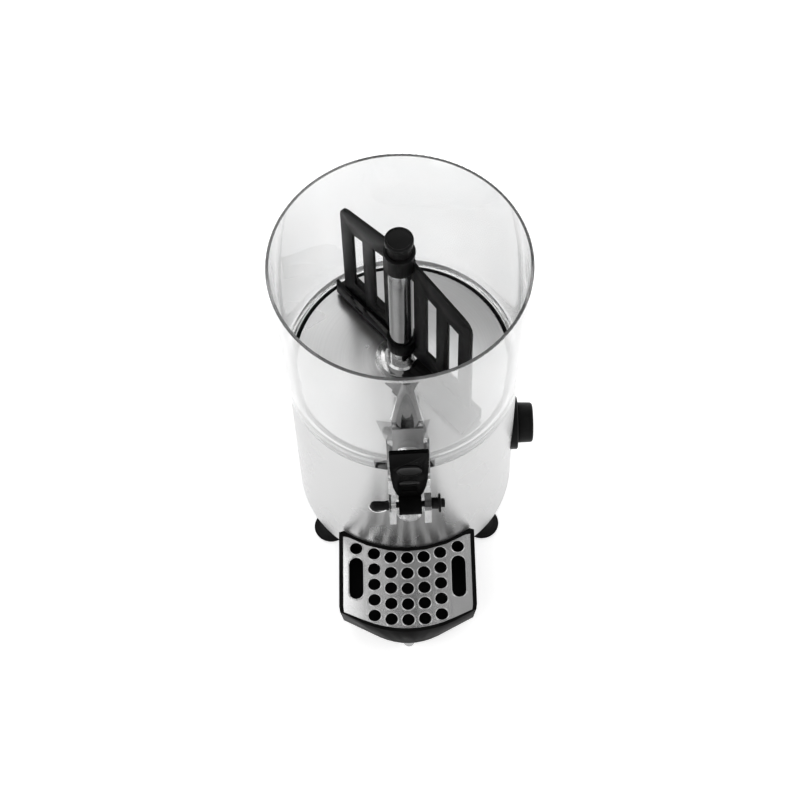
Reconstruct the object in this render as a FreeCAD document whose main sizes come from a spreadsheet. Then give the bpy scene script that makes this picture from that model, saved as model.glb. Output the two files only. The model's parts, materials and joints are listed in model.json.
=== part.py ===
import FreeCAD, Part
import math
import os
import Sketcher
from FreeCAD import Placement, Rotation, Vector

# Hot chocolate dispenser: a clear bowl on a stainless housing with a water bath inside.
# Millimetres. Z is up from the table, the bowl's axis is X = Y = 0, the tap and the tray face -Y.

os.makedirs("parts", exist_ok=True)
doc = FreeCAD.newDocument("hot_chocolate_dispenser")

# Driving dimensions
DIMS = [
    ("housing_r", 115.3, "outside radius of the housing shell"),
    ("housing_wall", 1.0, "sheet thickness of the shell"),
    ("housing_low", 18.0, "underside of the shell"),
    ("housing_top", 236.0, "top ledge of the shell"),
    ("ledge_in_r", 100.5, "inner radius of the top ledge"),
    ("plate_low", 20.0, "underside of the base plate"),
    ("plate_thick", 1.5, "base plate sheet"),
    ("rocker_pivot_x", 112.5, "rocker's pivots, out from the column"),
    ("rocker_pivot_r", 1.4, "rocker's pivots"),
    ("rocker_pivot_reach", 8.8, "rocker's pivots, to each side"),
    ("foot_x", 82.0, "foot centre, sideways"),
    ("foot_y", 66.0, "foot centre, front and back"),
    ("foot_flange_r", 18.5, "wide rubber flange"),
    ("foot_neck_r", 6.5, "rubber neck under the plate"),
    ("tank_r", 98.0, "outside radius of the water tank"),
    ("tank_low", 178.0, "underside of the water tank"),
    ("tank_wall", 1.0, "tank sheet"),
    ("flange_r", 112.8, "flange radius of tank and pan"),
    ("pan_r", 106.1, "outside radius of the pan wall"),
    ("pan_top", 251.9, "top of the pan floor"),
    ("pan_thick", 1.1, "pan sheet"),
    ("gasket_r", 110.4, "outside radius of the gasket"),
    ("gasket_low", 247.6, "underside of the gasket"),
    ("tube_r", 11.7, "column tube, outside"),
    ("tube_bore_r", 10.5, "column tube, inside"),
    ("tube_low", 170.0, "lower end of the column tube"),
    ("tube_high", 438.0, "upper end of the column tube"),
    ("ring_r", 26.8, "wide flange ring on the pan floor"),
    ("ring_step_r", 21.9, "raised step of the flange ring"),
    ("nut_r", 17.5, "round column nut"),
    ("nut_high", 5.2, "height of the round nut"),
    ("shaft_r", 4.0, "drive shaft"),
    ("shaft_low", 88.0, "lower end of the drive shaft"),
    ("shaft_high", 459.0, "upper end of the drive shaft"),
    ("bowl_low", 236.2, "underside of the bowl's skirt"),
    ("bowl_high", 427.7, "rim of the bowl"),
    ("bowl_low_r", 117.0, "outside radius at the skirt"),
    ("bowl_high_r", 123.7, "outside radius at the rim"),
    ("bowl_wall", 3.0, "wall of the bowl"),
    ("bowl_turn", 1.7, "the bowl stands turned this far on the housing, degrees"),
    ("spout_y", -130.0, "axis of the tap tube"),
    ("spout_r", 14.0, "tap tube, outside"),
    ("spout_bore_r", 11.0, "tap tube, bore"),
    ("spout_low", 177.0, "outlet end of the tap tube"),
    ("spout_high", 300.0, "top of the tap tube"),
    ("channel_z", 262.0, "way from the bowl into the tap tube"),
    ("channel_r", 4.5, "radius of that way and of the piston's port"),
    ("pin_y", -154.5, "hinge pin of the lever"),
    ("pin_z", 238.5, "hinge pin of the lever"),
    ("pin_r", 3.0, "hinge pin"),
    ("ear_in", 13.8, "inner face of the tap ears"),
    ("ear_out", 20.3, "outer face of the tap ears"),
    ("hub_r", 10.0, "lever hub"),
    ("hub_half", 11.0, "half length of the lever hub"),
    ("finger_len", 17.7, "hinge pin to the centre of the lever's finger tip"),
    ("finger_r", 3.2, "lever's finger tip"),
    ("finger_drop", 21.0, "finger below the level when the tap is shut, degrees"),
    ("notch_half", 3.6, "half height of the piston's notch"),
    ("piston_r", 10.9, "tap piston"),
    ("piston_low", 200.0, "lower end of the piston, tap shut"),
    ("piston_high", 280.0, "upper end of the piston, tap shut"),
    ("stroke", 12.7, "lift of the piston"),
    ("cap_low", 294.0, "underside of the tap cap"),
    ("spring_r", 6.6, "spring, middle of the wire"),
    ("wire_r", 0.6, "spring wire"),
    ("spring_low", 258.0, "spring seat in the piston"),
    ("spring_turns", 7.5, "turns of the spring"),
    ("mixer_turn", -49.3, "the wings stand turned this far, degrees"),
    ("wing_y", 5.0, "front face of the wing plate, behind the axis"),
    ("wing_thick", 3.0, "wing plate"),
    ("wing_r", 91.2, "outer edge of the wings"),
    ("wing_low", 267.6, "lower edge of the wing plate"),
    ("collar_bore_r", 12.05, "bore of both collars"),
    ("low_collar_r", 14.4, "lower collar"),
    ("high_collar_r", 15.0, "upper collar"),
    ("cap_r", 13.4, "mixer cap"),
    ("cap_top", 467.6, "top of the mixer cap"),
    ("tray_top", 50.8, "rim of the drip tray"),
    ("tray_low", 22.0, "underside of the drip tray"),
    ("tray_half", 71.9, "half width of the tray's rim"),
    ("tray_back_r", 115.8, "hollow back of the tray"),
    ("hole_r", 6.5, "drain hole of the grille"),
    ("hole_pitch", 17.48, "pitch of the drain holes"),
    ("knob_z", 110.0, "height of the thermostat knob"),
    ("knob_r", 21.5, "thermostat knob"),
    ("bezel_r", 28.3, "bezel behind the knob"),
    ("switch_turn", 40.0, "the switch stands turned this far round the housing, degrees"),
    ("switch_z", 107.0, "height of the switch"),
    ("gear_step", 37.5, "distance between neighbouring gear axes"),
    ("wheel_r", 30.0, "pitch radius of the wheels"),
    ("pinion_r", 7.5, "pitch radius of the pinions"),
    ("tooth_out", 1.25, "tooth above the pitch circle"),
    ("tooth_in", 1.75, "tooth below the pitch circle"),
    ("case_low", 84.0, "underside of the gear case"),
    ("case_high", 114.0, "top of the gear case"),
]


class Cell:
    """A length that remembers which cells it came from."""

    def __init__(self, text, value):
        self.text = text
        self.value = value

    @staticmethod
    def of(other):
        if isinstance(other, Cell):
            return other
        return Cell("(%r)" % float(other), float(other))

    def __add__(self, other):
        other = Cell.of(other)
        return Cell("(%s + %s)" % (self.text, other.text), self.value + other.value)

    def __sub__(self, other):
        other = Cell.of(other)
        return Cell("(%s - %s)" % (self.text, other.text), self.value - other.value)

    def __rsub__(self, other):
        return Cell.of(other) - self

    def __mul__(self, other):
        other = Cell.of(other)
        return Cell("(%s * %s)" % (self.text, other.text), self.value * other.value)

    def __neg__(self):
        return Cell("(0 - %s)" % self.text, -self.value)

    __radd__ = __add__
    __rmul__ = __mul__

    @property
    def driven(self):
        return "Dims." in self.text


class Table:
    """The driving cells by name."""


def fill_sheet():
    sheet = doc.addObject("Spreadsheet::Sheet", "Dims")
    table = Table()
    for row, (alias, value, note) in enumerate(DIMS, 1):
        sheet.set("A%d" % row, alias)
        sheet.set("B%d" % row, repr(value))
        sheet.set("C%d" % row, note)
        sheet.setAlias("B%d" % row, alias)
        setattr(table, alias, Cell("Dims." + alias, value))
    doc.recompute()
    return table


d = fill_sheet()
NODES = []


# Building helpers
def bind(thing, prop, value):
    value = Cell.of(value)
    if value.driven:
        thing.setExpression(prop, value.text)
    else:
        setattr(thing, prop, value.value)


def new_body(label, keep=True):
    body = doc.addObject("PartDesign::Body", label)
    body.Label = label
    if keep:
        NODES.append(body)
    return body


def origin_part(body, role):
    return [item for item in body.Origin.OriginFeatures if item.Role == role][0]


def sketch_on(body, role, shift=(0, 0, 0)):
    """A sketch on an origin plane. XZ looks along +Y, so its third shift runs along -Y."""
    made = body.newObject("Sketcher::SketchObject", body.Label + "_sketch")
    made.AttachmentSupport = [(origin_part(body, role), "")]
    made.MapMode = "FlatFace"
    cells = [Cell.of(value) for value in shift]
    made.AttachmentOffset = Placement(Vector(*[cell.value for cell in cells]), Rotation())
    for axis, cell in zip("xyz", cells):
        if cell.driven:
            made.setExpression("AttachmentOffset.Base." + axis, cell.text)
    return made


def add_rule(made, rule, cell):
    number = made.addConstraint(rule)
    if cell.driven:
        made.setExpression("Constraints[%d]" % number, cell.text)


def hold(made, line, end, x, y):
    """Fixes one point of a line at x, y from the sketch's origin."""
    for kind, cell, axis in (("DistanceX", x, -2), ("DistanceY", y, -1)):
        if abs(cell.value) < 1e-9:
            made.addConstraint(Sketcher.Constraint("PointOnObject", line, end, axis))
        else:
            add_rule(made, Sketcher.Constraint(kind, -1, 1, line, end, cell.value), cell)


def add_outline(made, points):
    points = [(Cell.of(x), Cell.of(y)) for x, y in points]
    count = len(points)
    first = made.GeometryCount
    spots = [Vector(x.value, y.value, 0) for x, y in points]
    for at in range(count):
        made.addGeometry(Part.LineSegment(spots[at], spots[(at + 1) % count]), False)
    for at in range(count):
        follow = first + (at + 1) % count
        made.addConstraint(Sketcher.Constraint("Coincident", first + at, 2, follow, 1))
    for at, (x, y) in enumerate(points):
        hold(made, first + at, 1, x, y)


def add_circle(made, x, y, radius):
    x, y, radius = Cell.of(x), Cell.of(y), Cell.of(radius)
    centre = Vector(x.value, y.value, 0)
    number = made.addGeometry(Part.Circle(centre, Vector(0, 0, 1), radius.value), False)
    hold(made, number, 3, x, y)
    add_rule(made, Sketcher.Constraint("Radius", number, radius.value), radius)


def add_box(made, x0, x1, y0, y1):
    add_outline(made, [(x0, y0), (x1, y0), (x1, y1), (x0, y1)])


def finish(body, feature, made=None):
    if made is not None:
        made.Visibility = False
    doc.recompute()
    body.Tip = feature
    return feature


def turned(body, points, shift=(0, 0, 0), cut=False):
    """Revolves an outline of (radius, height) about the vertical through the shifted origin."""
    made = sketch_on(body, "XZ_Plane", (shift[0], 0, -Cell.of(shift[1])))
    add_outline(made, points)
    kind = "PartDesign::Groove" if cut else "PartDesign::Revolution"
    feature = body.newObject(kind, body.Label + "_turned")
    feature.Profile = made
    feature.ReferenceAxis = (made, ["V_Axis"])
    feature.Angle = 360
    return finish(body, feature, made)


def turned_on_x(body, points, y, z):
    """Revolves an outline of (x, radius) about the line along X through y, z."""
    made = sketch_on(body, "XZ_Plane", (0, z, -Cell.of(y)))
    add_outline(made, points)
    feature = body.newObject("PartDesign::Revolution", body.Label + "_turned")
    feature.Profile = made
    feature.ReferenceAxis = (made, ["H_Axis"])
    feature.Angle = 360
    return finish(body, feature, made)


def raised(body, role, level, length, draw, backward=False):
    """Pads what draw() puts on the plane at a level, along the plane's own normal."""
    made = sketch_on(body, role, (0, 0, level))
    draw(made)
    feature = body.newObject("PartDesign::Pad", body.Label + "_pad")
    feature.Profile = made
    bind(feature, "Length", length)
    feature.Reversed = backward
    return finish(body, feature, made)


def sunk(body, role, level, length, draw, backward=False):
    """Cuts what draw() puts on the plane at a level, against the plane's own normal."""
    before = body.Shape.Volume
    made = sketch_on(body, role, (0, 0, level))
    draw(made)
    feature = body.newObject("PartDesign::Pocket", body.Label + "_pocket")
    feature.Profile = made
    bind(feature, "Length", length)
    feature.Reversed = backward
    finish(body, feature, made)
    if body.Shape.Volume > before - 1e-3:
        raise RuntimeError("%s: a pocket took nothing away" % body.Label)
    return feature


def lofted(body, low, high, cut=False):
    """Joins two circles, each (x, y, radius, level), by a straight loft."""
    rings = []
    for x, y, radius, level in (low, high):
        made = sketch_on(body, "XY_Plane", (0, 0, level))
        add_circle(made, x, y, radius)
        rings.append(made)
    kind = "PartDesign::SubtractiveLoft" if cut else "PartDesign::AdditiveLoft"
    feature = body.newObject(kind, body.Label + "_loft")
    feature.Profile = rings[0]
    feature.Sections = [rings[1]]
    feature.Ruled = True
    rings[1].Visibility = False
    return finish(body, feature, rings[0])


def round_off(body, radius, wanted, bevel=False):
    """Rounds the edges that wanted(edge) picks out."""
    tip = body.Tip
    names = ["Edge%d" % (at + 1) for at, edge in enumerate(tip.Shape.Edges) if wanted(edge)]
    if not names:
        raise RuntimeError("%s: no edge to round" % body.Label)
    kind = "PartDesign::Chamfer" if bevel else "PartDesign::Fillet"
    feature = body.newObject(kind, body.Label + "_edge")
    feature.Base = (tip, names)
    if bevel:
        feature.Size = radius
    else:
        feature.Radius = radius
    return finish(body, feature)


def around(body, feature, count):
    """Repeats a feature round the Z axis."""
    pattern = body.newObject("PartDesign::PolarPattern", body.Label + "_ring")
    pattern.Originals = [feature]
    pattern.Axis = (origin_part(body, "Z_Axis"), [""])
    pattern.Angle = 360
    pattern.Occurrences = count
    return finish(body, pattern)


def flat_circle_at(radius, level):
    """Picks out the full circles of one radius at one height."""

    def wanted(edge):
        box = edge.BoundBox
        flat = box.ZLength < 1e-4 and abs(box.ZMin - level) < 1e-3
        return flat and abs(box.XLength - 2 * radius) < 1e-3

    return wanted


def copies(label, unit, spots):
    """One node of equal loose solids: the unit's shape at each spot."""
    made = doc.addObject("Part::Feature", label)
    made.Label = label
    solids = []
    for spot in spots:
        place = spot if isinstance(spot, Placement) else Placement(Vector(*spot), Rotation())
        solid = unit.Shape.copy()
        solid.Placement = place.multiply(solid.Placement)
        solids.append(solid)
    made.Shape = Part.makeCompound(solids)
    NODES.append(made)
    return made


def turn_about_z(thing, angle):
    thing.Placement = Placement(Vector(0, 0, 0), Rotation(Vector(0, 0, 1), angle.value))
    if thing.TypeId != "Part::Feature":
        thing.setExpression("Placement.Rotation.Angle", angle.text)


# Housing and what stands under it
def housing_shell():
    body = new_body("housing_shell")
    out, wall = d.housing_r, d.housing_wall
    low, top = d.housing_low, d.housing_top
    turned(body, [(d.ledge_in_r, top - wall), (out - wall, top - wall), (out - wall, low + wall),
                  (out - 3.3, low + wall), (out - 3.3, low), (out, low), (out, top),
                  (d.ledge_in_r, top)])
    sunk(body, "YZ_Plane", out + 1, 8, lambda s: add_circle(s, 0, d.knob_z, 5.5))
    sunk(body, "XZ_Plane", -out + 8, 9, lambda s: add_circle(s, 0, 45, 7.3))
    round_off(body, 0.9, flat_circle_at(out.value, top.value))
    made = body.newObject("Sketcher::SketchObject", "switch_window")
    made.AttachmentSupport = [(origin_part(body, "YZ_Plane"), "")]
    made.MapMode = "FlatFace"
    turn = math.radians(d.switch_turn.value)
    face = Vector(118 * math.cos(turn), 118 * math.sin(turn), 0)
    turn = Rotation(Vector(0, 1, 0), d.switch_turn.value)
    made.AttachmentOffset = Placement(Vector(face.y, 0, face.x), turn)
    add_box(made, -10.2, 10.2, d.switch_z - 13.6, d.switch_z + 13.6)
    before = body.Shape.Volume
    feature = body.newObject("PartDesign::Pocket", "switch_window_cut")
    feature.Profile = made
    feature.Length = 16
    finish(body, feature, made)
    if body.Shape.Volume > before - 1:
        raise RuntimeError("the switch window missed the shell")
    return body


def base_plate():
    body = new_body("base_plate")
    level = d.plate_low + d.plate_thick
    raised(body, "XY_Plane", d.plate_low, d.plate_thick,
           lambda s: add_circle(s, 0, 0, d.housing_r - d.housing_wall - 0.2))

    def screw_holes(made):
        for side in (-1, 1):
            for end in (-1, 1):
                add_circle(made, d.foot_x * side, d.foot_y * end, 2.8)

    sunk(body, "XY_Plane", level + 1, 4, screw_holes)
    vent = sunk(body, "XY_Plane", level + 1, 4, lambda s: add_circle(s, 30, 0, 2.5))
    around(body, vent, 12)
    return body


def foot_spots():
    x, y = d.foot_x.value, d.foot_y.value
    return [(side * x, end * y, 0) for side in (-1, 1) for end in (-1, 1)]


def rubber_feet():
    unit = new_body("foot_unit", keep=False)
    neck = d.foot_neck_r
    turned(unit, [(2.7, 6), (5.8, 6), (5.8, 0), (d.foot_flange_r - 2, 0), (d.foot_flange_r, 1.2),
                  (d.foot_flange_r, 2.6), (12.5, 5.2), (10.2, 9), (9.6, 15), (neck, 17.2),
                  (neck, d.plate_low), (2.7, d.plate_low)])
    return copies("rubber_feet", unit, foot_spots())


def foot_screws():
    unit = new_body("foot_screw_unit", keep=False)
    turned(unit, [(0, 2.6), (3.8, 2.6), (4.8, 3.6), (4.8, 5.9), (2.5, 5.9), (2.5, 28), (0, 28)])
    sunk(unit, "XY_Plane", 1, 3.2, lambda s: add_box(s, -3.2, 3.2, -0.6, 0.6), backward=True)
    return copies("foot_screws", unit, foot_spots())


def foot_nuts():
    unit = new_body("foot_nut_unit", keep=False)
    low = d.plate_low + d.plate_thick + 0.05
    raised(unit, "XY_Plane", low, 4, lambda s: add_outline(s, hexagon(4.4)))
    sunk(unit, "XY_Plane", low + 5, 6, lambda s: add_circle(s, 0, 0, 2.6))
    return copies("foot_nuts", unit, foot_spots())


def hexagon(radius, x=0, y=0):
    spots = []
    for at in range(6):
        angle = math.radians(60 * at + 30)
        spots.append((Cell.of(radius) * math.cos(angle) + x, Cell.of(radius) * math.sin(angle) + y))
    return spots


# Water bath and pan
def water_tank():
    body = new_body("water_tank")
    out, wall, low = d.tank_r, d.tank_wall, d.tank_low
    seat = d.housing_top + 0.05
    turned(body, [(12.0, low), (out, low), (out, seat), (d.flange_r, seat), (d.flange_r, seat + wall),
                  (out - wall, seat + wall), (out - wall, low + wall), (12.0, low + wall)])

    def leg_holes(made):
        for side in (-1, 1):
            add_circle(made, 70, 9 * side, 4.4)

    sunk(body, "XY_Plane", low + 2, 4, leg_holes)
    return body


def heating_pan():
    body = new_body("heating_pan")
    out, thick, top = d.pan_r, d.pan_thick, d.pan_top
    seat = d.housing_top + 1.1
    turned(body, [(12.0, top - thick), (out - thick, top - thick), (out - thick, seat + thick),
                  (out - thick, seat), (d.flange_r, seat), (d.flange_r, seat + thick),
                  (out, seat + thick), (out, top), (12.0, top)])
    round_off(body, 0.9, flat_circle_at(out.value, top.value))
    return body


def pan_gasket():
    body = new_body("pan_gasket")
    inner, low, top = d.pan_r + 0.1, d.gasket_low, d.pan_top
    turned(body, [(inner, low), (d.gasket_r - 1, low), (d.gasket_r, low + 1), (d.gasket_r, top - 1.4),
                  (d.gasket_r - 1.2, top - 0.3), (inner, top - 0.3)])
    return body


def bowl_stop():
    """Black block under the bowl's front that keys the bowl to the pan."""
    body = new_body("bowl_stop")
    low = d.housing_top + 2.3
    turned(body, [(d.pan_r + 0.2, low), (d.flange_r, low), (d.flange_r, low + 7.4),
                  (d.pan_r + 0.2, low + 7.4)])
    reach = d.flange_r + 4
    sunk(body, "XY_Plane", low + 8, 9, lambda s: add_outline(s, [
        (28.5, -reach), (reach, -reach), (reach, reach), (-reach, reach), (-reach, -reach),
        (-28.5, -reach), (-28.5, -100), (28.5, -100)]))
    return body


def column_tube():
    body = new_body("column_tube")
    turned(body, [(d.tube_bore_r, d.tube_low), (d.tube_r, d.tube_low), (d.tube_r, d.tube_high),
                  (d.tube_bore_r, d.tube_high)])
    return body


def column_flange():
    body = new_body("column_flange")
    low = d.pan_top + 0.05
    turned(body, [(d.tube_r + 0.1, low), (d.ring_r, low), (d.ring_r, low + 1.2),
                  (d.ring_step_r, low + 1.6), (d.ring_step_r, low + 2.4), (d.tube_r + 0.1, low + 2.4)])
    return body


def column_nuts():
    unit = new_body("column_nut_unit", keep=False)
    high = d.nut_high
    turned(unit, [(d.tube_r + 0.1, 0), (d.nut_r, 0), (d.nut_r, high - 1.6), (d.nut_r - 2.4, high),
                  (d.tube_r + 0.1, high)])
    slot = sunk(unit, "XY_Plane", high + 1, high + 2, lambda s: add_circle(s, d.nut_r + 0.6, 0, 1.8))
    around(unit, slot, 8)
    above = d.pan_top.value + 2.5
    below = d.tank_low.value - d.nut_high.value - 0.05
    return copies("column_nuts", unit, [(0, 0, above), (0, 0, below)])


def heating_element():
    ring = doc.addObject("Part::Torus", "element_ring")
    ring.Radius1 = 70
    ring.Radius2 = 3.6
    ring.Angle3 = 345
    ring.Placement = Placement(Vector(0, 0, 192), Rotation(Vector(0, 0, 1), 7.5))
    legs = []
    for side in (-1, 1):
        leg = doc.addObject("Part::Cylinder", "element_leg")
        leg.Radius = 3.6
        leg.Height = 31.5
        leg.Placement = Placement(Vector(70, 9 * side, 160.5), Rotation())
        legs.append(leg)
    made = doc.addObject("Part::MultiFuse", "heating_element")
    made.Shapes = [ring] + legs
    made.Label = "heating_element"
    doc.recompute()
    NODES.append(made)
    return made


def element_nuts():
    unit = new_body("element_nut_unit", keep=False)
    high = d.tank_low - 0.05
    raised(unit, "XY_Plane", high - 5, 5, lambda s: add_outline(s, hexagon(8.2)))
    sunk(unit, "XY_Plane", high + 1, 7, lambda s: add_circle(s, 0, 0, 3.7))
    return copies("element_nuts", unit, [(70, -9, 0), (70, 9, 0)])


def safety_thermostat():
    body = new_body("safety_thermostat")
    top = d.tank_low - 0.05
    turned(body, [(0, top - 9), (7, top - 9), (7, top - 6), (12, top - 6), (12, top), (0, top)],
           (0, 60))
    for side in (-1, 1):
        raised(body, "XY_Plane", top - 16, 7.5,
               lambda s: add_box(s, 4 * side - 0.5, 4 * side + 0.5, 57, 63))
    return body


# Gearmotor
def add_teeth(body, low, high, pitch_r, count, x, y, start):
    """Pads one tooth on a wheel at x, y and repeats it about the wheel's own axis."""
    inner = pitch_r - d.tooth_in - 0.3
    outer = pitch_r + d.tooth_out
    made = sketch_on(body, "XY_Plane", (0, 0, low))
    add_outline(made, [(inner, -1.35), (pitch_r, -0.9), (outer, -0.45), (outer, 0.45), (pitch_r, 0.9),
                       (inner, 1.35)])
    tooth = body.newObject("PartDesign::Pad", body.Label + "_tooth")
    tooth.Profile = made
    bind(tooth, "Length", high - low)
    finish(body, tooth, made)
    around(body, tooth, count)
    body.Placement = Placement(Vector(x, y, 0), Rotation(Vector(0, 0, 1), start))
    return body


def wheel_blank(body, low, high, pitch_r, axle_low, axle_high, axle_r, bore_r):
    """A wheel with its axle or bore, standing on the Z axis."""
    rim = pitch_r - d.tooth_in
    points = [(rim, low), (rim, high)]
    if axle_high is not None:
        points += [(axle_r, high), (axle_r, axle_high), (bore_r, axle_high)]
        points += [(bore_r, axle_low), (axle_r, axle_low), (axle_r, low)]
    else:
        points += [(bore_r, high), (bore_r, low)]
    turned(body, points)


def output_gear():
    body = new_body("output_gear")
    wheel_blank(body, Cell.of(101), Cell.of(107), d.wheel_r,
                Cell.of(99), Cell.of(110), Cell.of(8), d.shaft_r + 0.02)
    return add_teeth(body, Cell.of(101), Cell.of(107), d.wheel_r, 40, 0, 0, 0)


def middle_gear():
    """Wheel below and pinion above, in one moulding on a short axle."""
    body = new_body("middle_gear")
    low, mid, high = Cell.of(92), Cell.of(97), Cell.of(108)
    rim = d.wheel_r - d.tooth_in
    core = d.pinion_r - d.tooth_in
    turned(body, [(0, d.case_low + 0.6), (2, d.case_low + 0.6), (2, low - 2), (5, low - 2), (5, low),
                  (rim, low), (rim, mid), (core, mid), (core, high), (2, high),
                  (2, d.case_high - 0.6), (0, d.case_high - 0.6)])
    for level, top, pitch, count in ((low, mid, d.wheel_r, 40), (mid + 2, high, d.pinion_r, 10)):
        add_teeth(body, level, top, pitch, count, -d.gear_step.value, 0, 0)
    body.Placement = Placement(Vector(-d.gear_step.value, 0, 0), Rotation(Vector(0, 0, 1), 18))
    return body


def rotor_pinion():
    body = new_body("rotor_pinion")
    low, high = Cell.of(90.5), Cell.of(98.5)
    wheel_blank(body, low, high, d.pinion_r, None, None, None, Cell.of(2.52))
    return add_teeth(body, low, high, d.pinion_r, 10, -2 * d.gear_step.value, 0, 18)


def motor_rotor():
    body = new_body("motor_rotor")
    turned(body, [(0, 42), (2.5, 42), (2.5, 50), (13.5, 50), (13.5, 74), (2.5, 74),
                  (2.5, 104), (0, 104)], (-2 * d.gear_step, 0))
    return body


def motor_core():
    body = new_body("motor_core")
    x = -2 * d.gear_step
    raised(body, "XY_Plane", 52, 20, lambda s: add_box(s, x - 24, x + 24, -24, 46))
    sunk(body, "XY_Plane", 73, 22, lambda s: add_circle(s, x, 0, 14.0))
    sunk(body, "XY_Plane", 73, 22, lambda s: add_box(s, x - 12, x + 12, 24, 36))
    return body


def motor_coil():
    """Winding round the core's back limb."""
    body = new_body("motor_coil")
    x = -2 * d.gear_step
    raised(body, "YZ_Plane", x - 11.7, 23.4, lambda s: add_box(s, 29, 52, 46, 78))
    sunk(body, "YZ_Plane", x + 12, 24, lambda s: add_box(s, 35.7, 46.3, 51.7, 72.3))
    return body


def gearbox_case():
    body = new_body("gearbox_case")
    low, high = d.case_low, d.case_high
    x0, x1, half = Cell.of(-92), Cell.of(36), Cell.of(36)
    raised(body, "XY_Plane", low, high - low, lambda s: add_box(s, x0, x1, -half, half))
    doc.recompute()
    round_off(body, 6, lambda edge: edge.BoundBox.ZLength > 20)
    inner = new_body("gear_room", keep=False)
    raised(inner, "XY_Plane", low + 2, high - low - 4,
           lambda s: add_box(s, x0 + 2, x1 - 2, -half + 2, half - 2))
    room = body.newObject("PartDesign::Boolean", "gear_room_cut")
    room.Type = 1
    room.addObject(inner)
    finish(body, room)

    def bearings(made):
        add_circle(made, 0, 0, d.shaft_r + 0.05)
        add_circle(made, -d.gear_step, 0, 2.05)
        add_circle(made, -2 * d.gear_step, 0, 2.55)

    sunk(body, "XY_Plane", high + 1, high - low + 2, bearings)

    def threads(made):
        for x, y in bracket_holes():
            add_circle(made, x, y, 1.65)

    sunk(body, "XY_Plane", high + 1, 4, threads)
    return body


def bracket_holes():
    return [(-55, -28), (-55, 28), (26, -28), (26, 28)]


def motor_bracket():
    """Plate over the gear case on four legs that stand on the base plate."""
    body = new_body("motor_bracket")
    low = d.case_high + 0.05
    raised(body, "XY_Plane", low, 2, lambda s: add_box(s, -84, 44, -43, 43))
    foot = d.plate_low + d.plate_thick + 0.05

    def legs(made):
        for x in (-80, 40):
            for y in (-40, 40):
                if (x, y) != (-80, 40):
                    add_circle(made, x, y, 3)
        add_circle(made, -46, 40, 3)

    raised(body, "XY_Plane", foot, low - foot + 1, legs)
    sunk(body, "XY_Plane", low + 3, 4, lambda s: add_circle(s, 0, 0, 9))
    sunk(body, "XY_Plane", low + 3, 4, lambda s: add_circle(s, -2 * d.gear_step, 0, 5))
    sunk(body, "XY_Plane", low + 3, 4, lambda s: add_circle(s, -d.gear_step, 0, 4))

    def holes(made):
        for x, y in bracket_holes():
            add_circle(made, x, y, 1.8)

    sunk(body, "XY_Plane", low + 3, 4, holes)
    return body


def bracket_screws():
    unit = new_body("bracket_screw_unit", keep=False)
    seat = d.case_high + 2.1
    turned(unit, [(0, seat - 3.8), (1.6, seat - 3.8), (1.6, seat), (3.0, seat), (3.0, seat + 1.4),
                  (2.2, seat + 2.2), (0, seat + 2.2)])
    return copies("bracket_screws", unit, [(x, y, 0) for x, y in bracket_holes()])


def drive_shaft():
    body = new_body("drive_shaft")
    r = d.shaft_r
    high = d.shaft_high
    shoulder = high - 14.7
    turned(body, [(0, 128), (r, 128), (r, shoulder), (3, shoulder), (3, high - 0.8), (2.2, high),
                  (0, high)])
    flat = 1.2
    for side in (-1, 1):
        edge = Cell.of(side) * (r - flat)
        far = Cell.of(side) * (r + 2)
        sunk(body, "XY_Plane", high - 14, 8, lambda s: add_box(s, -6, 6, edge, far) if side > 0
             else add_box(s, -6, 6, far, edge))
    turn_about_z(body, d.mixer_turn)
    return body


def output_shaft():
    body = new_body("output_shaft")
    r = d.shaft_r
    turned(body, [(0, d.case_low + 0.6), (r, d.case_low + 0.6), (r, 127), (0, 127)])
    return body


def shaft_coupling():
    body = new_body("shaft_coupling")
    turned(body, [(d.shaft_r + 0.02, 119), (8, 119), (8, 136), (d.shaft_r + 0.02, 136)])
    sunk(body, "YZ_Plane", 12, 9, lambda s: add_circle(s, 0, 123, 1.5))
    sunk(body, "YZ_Plane", 12, 9, lambda s: add_circle(s, 0, 132, 1.5))
    return body


def shaft_bushes():
    unit = new_body("shaft_bush_unit", keep=False)
    turned(unit, [(d.shaft_r + 0.06, 0), (d.tube_bore_r - 0.02, 0), (d.tube_bore_r - 0.02, 12),
                  (d.shaft_r + 0.06, 12)])
    low = d.tube_low.value + 0.5
    high = d.tube_high.value - 12.5
    return copies("shaft_bushes", unit, [(0, 0, low), (0, 0, high)])


# Controls and connection
def thermostat_body():
    body = new_body("thermostat_body")
    z = d.knob_z
    raised(body, "YZ_Plane", 84, 26, lambda s: add_box(s, -17, 17, z - 20, z + 20))
    sunk(body, "YZ_Plane", 111, 12, lambda s: add_circle(s, 0, z, 3.05))
    for side in (-1, 1):
        raised(body, "YZ_Plane", 76, 8.5,
               lambda s: add_box(s, 9 * side - 3, 9 * side + 3, z - 0.5, z + 0.5))
    return body


def thermostat_spindle():
    body = new_body("thermostat_spindle")
    turned_on_x(body, [(99, 0), (131, 0), (131, 3.0), (99, 3.0)], 0, d.knob_z)
    return body


def knob_bezel():
    body = new_body("knob_bezel")
    z = d.knob_z
    turned_on_x(body, [(100, 6), (119.2, 6), (119.9, 7), (119.9, d.bezel_r - 1.2), (118.8, d.bezel_r),
                       (100, d.bezel_r)], 0, z)
    sunk(body, "XY_Plane", z + 40, 80, lambda s: add_circle(s, 0, 0, d.housing_r + 0.1))
    return body


def thermostat_knob():
    body = new_body("thermostat_knob")
    r, z = d.knob_r, d.knob_z
    turned_on_x(body, [(120.3, 3.02), (131.1, 3.02), (131.1, 0), (137.0, 0), (136.8, r * 0.5),
                       (136.0, r - 2.4), (134.9, r - 0.9), (133.4, r - 0.3), (120.8, r),
                       (120.3, r - 0.6)], 0, z)
    return body


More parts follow.
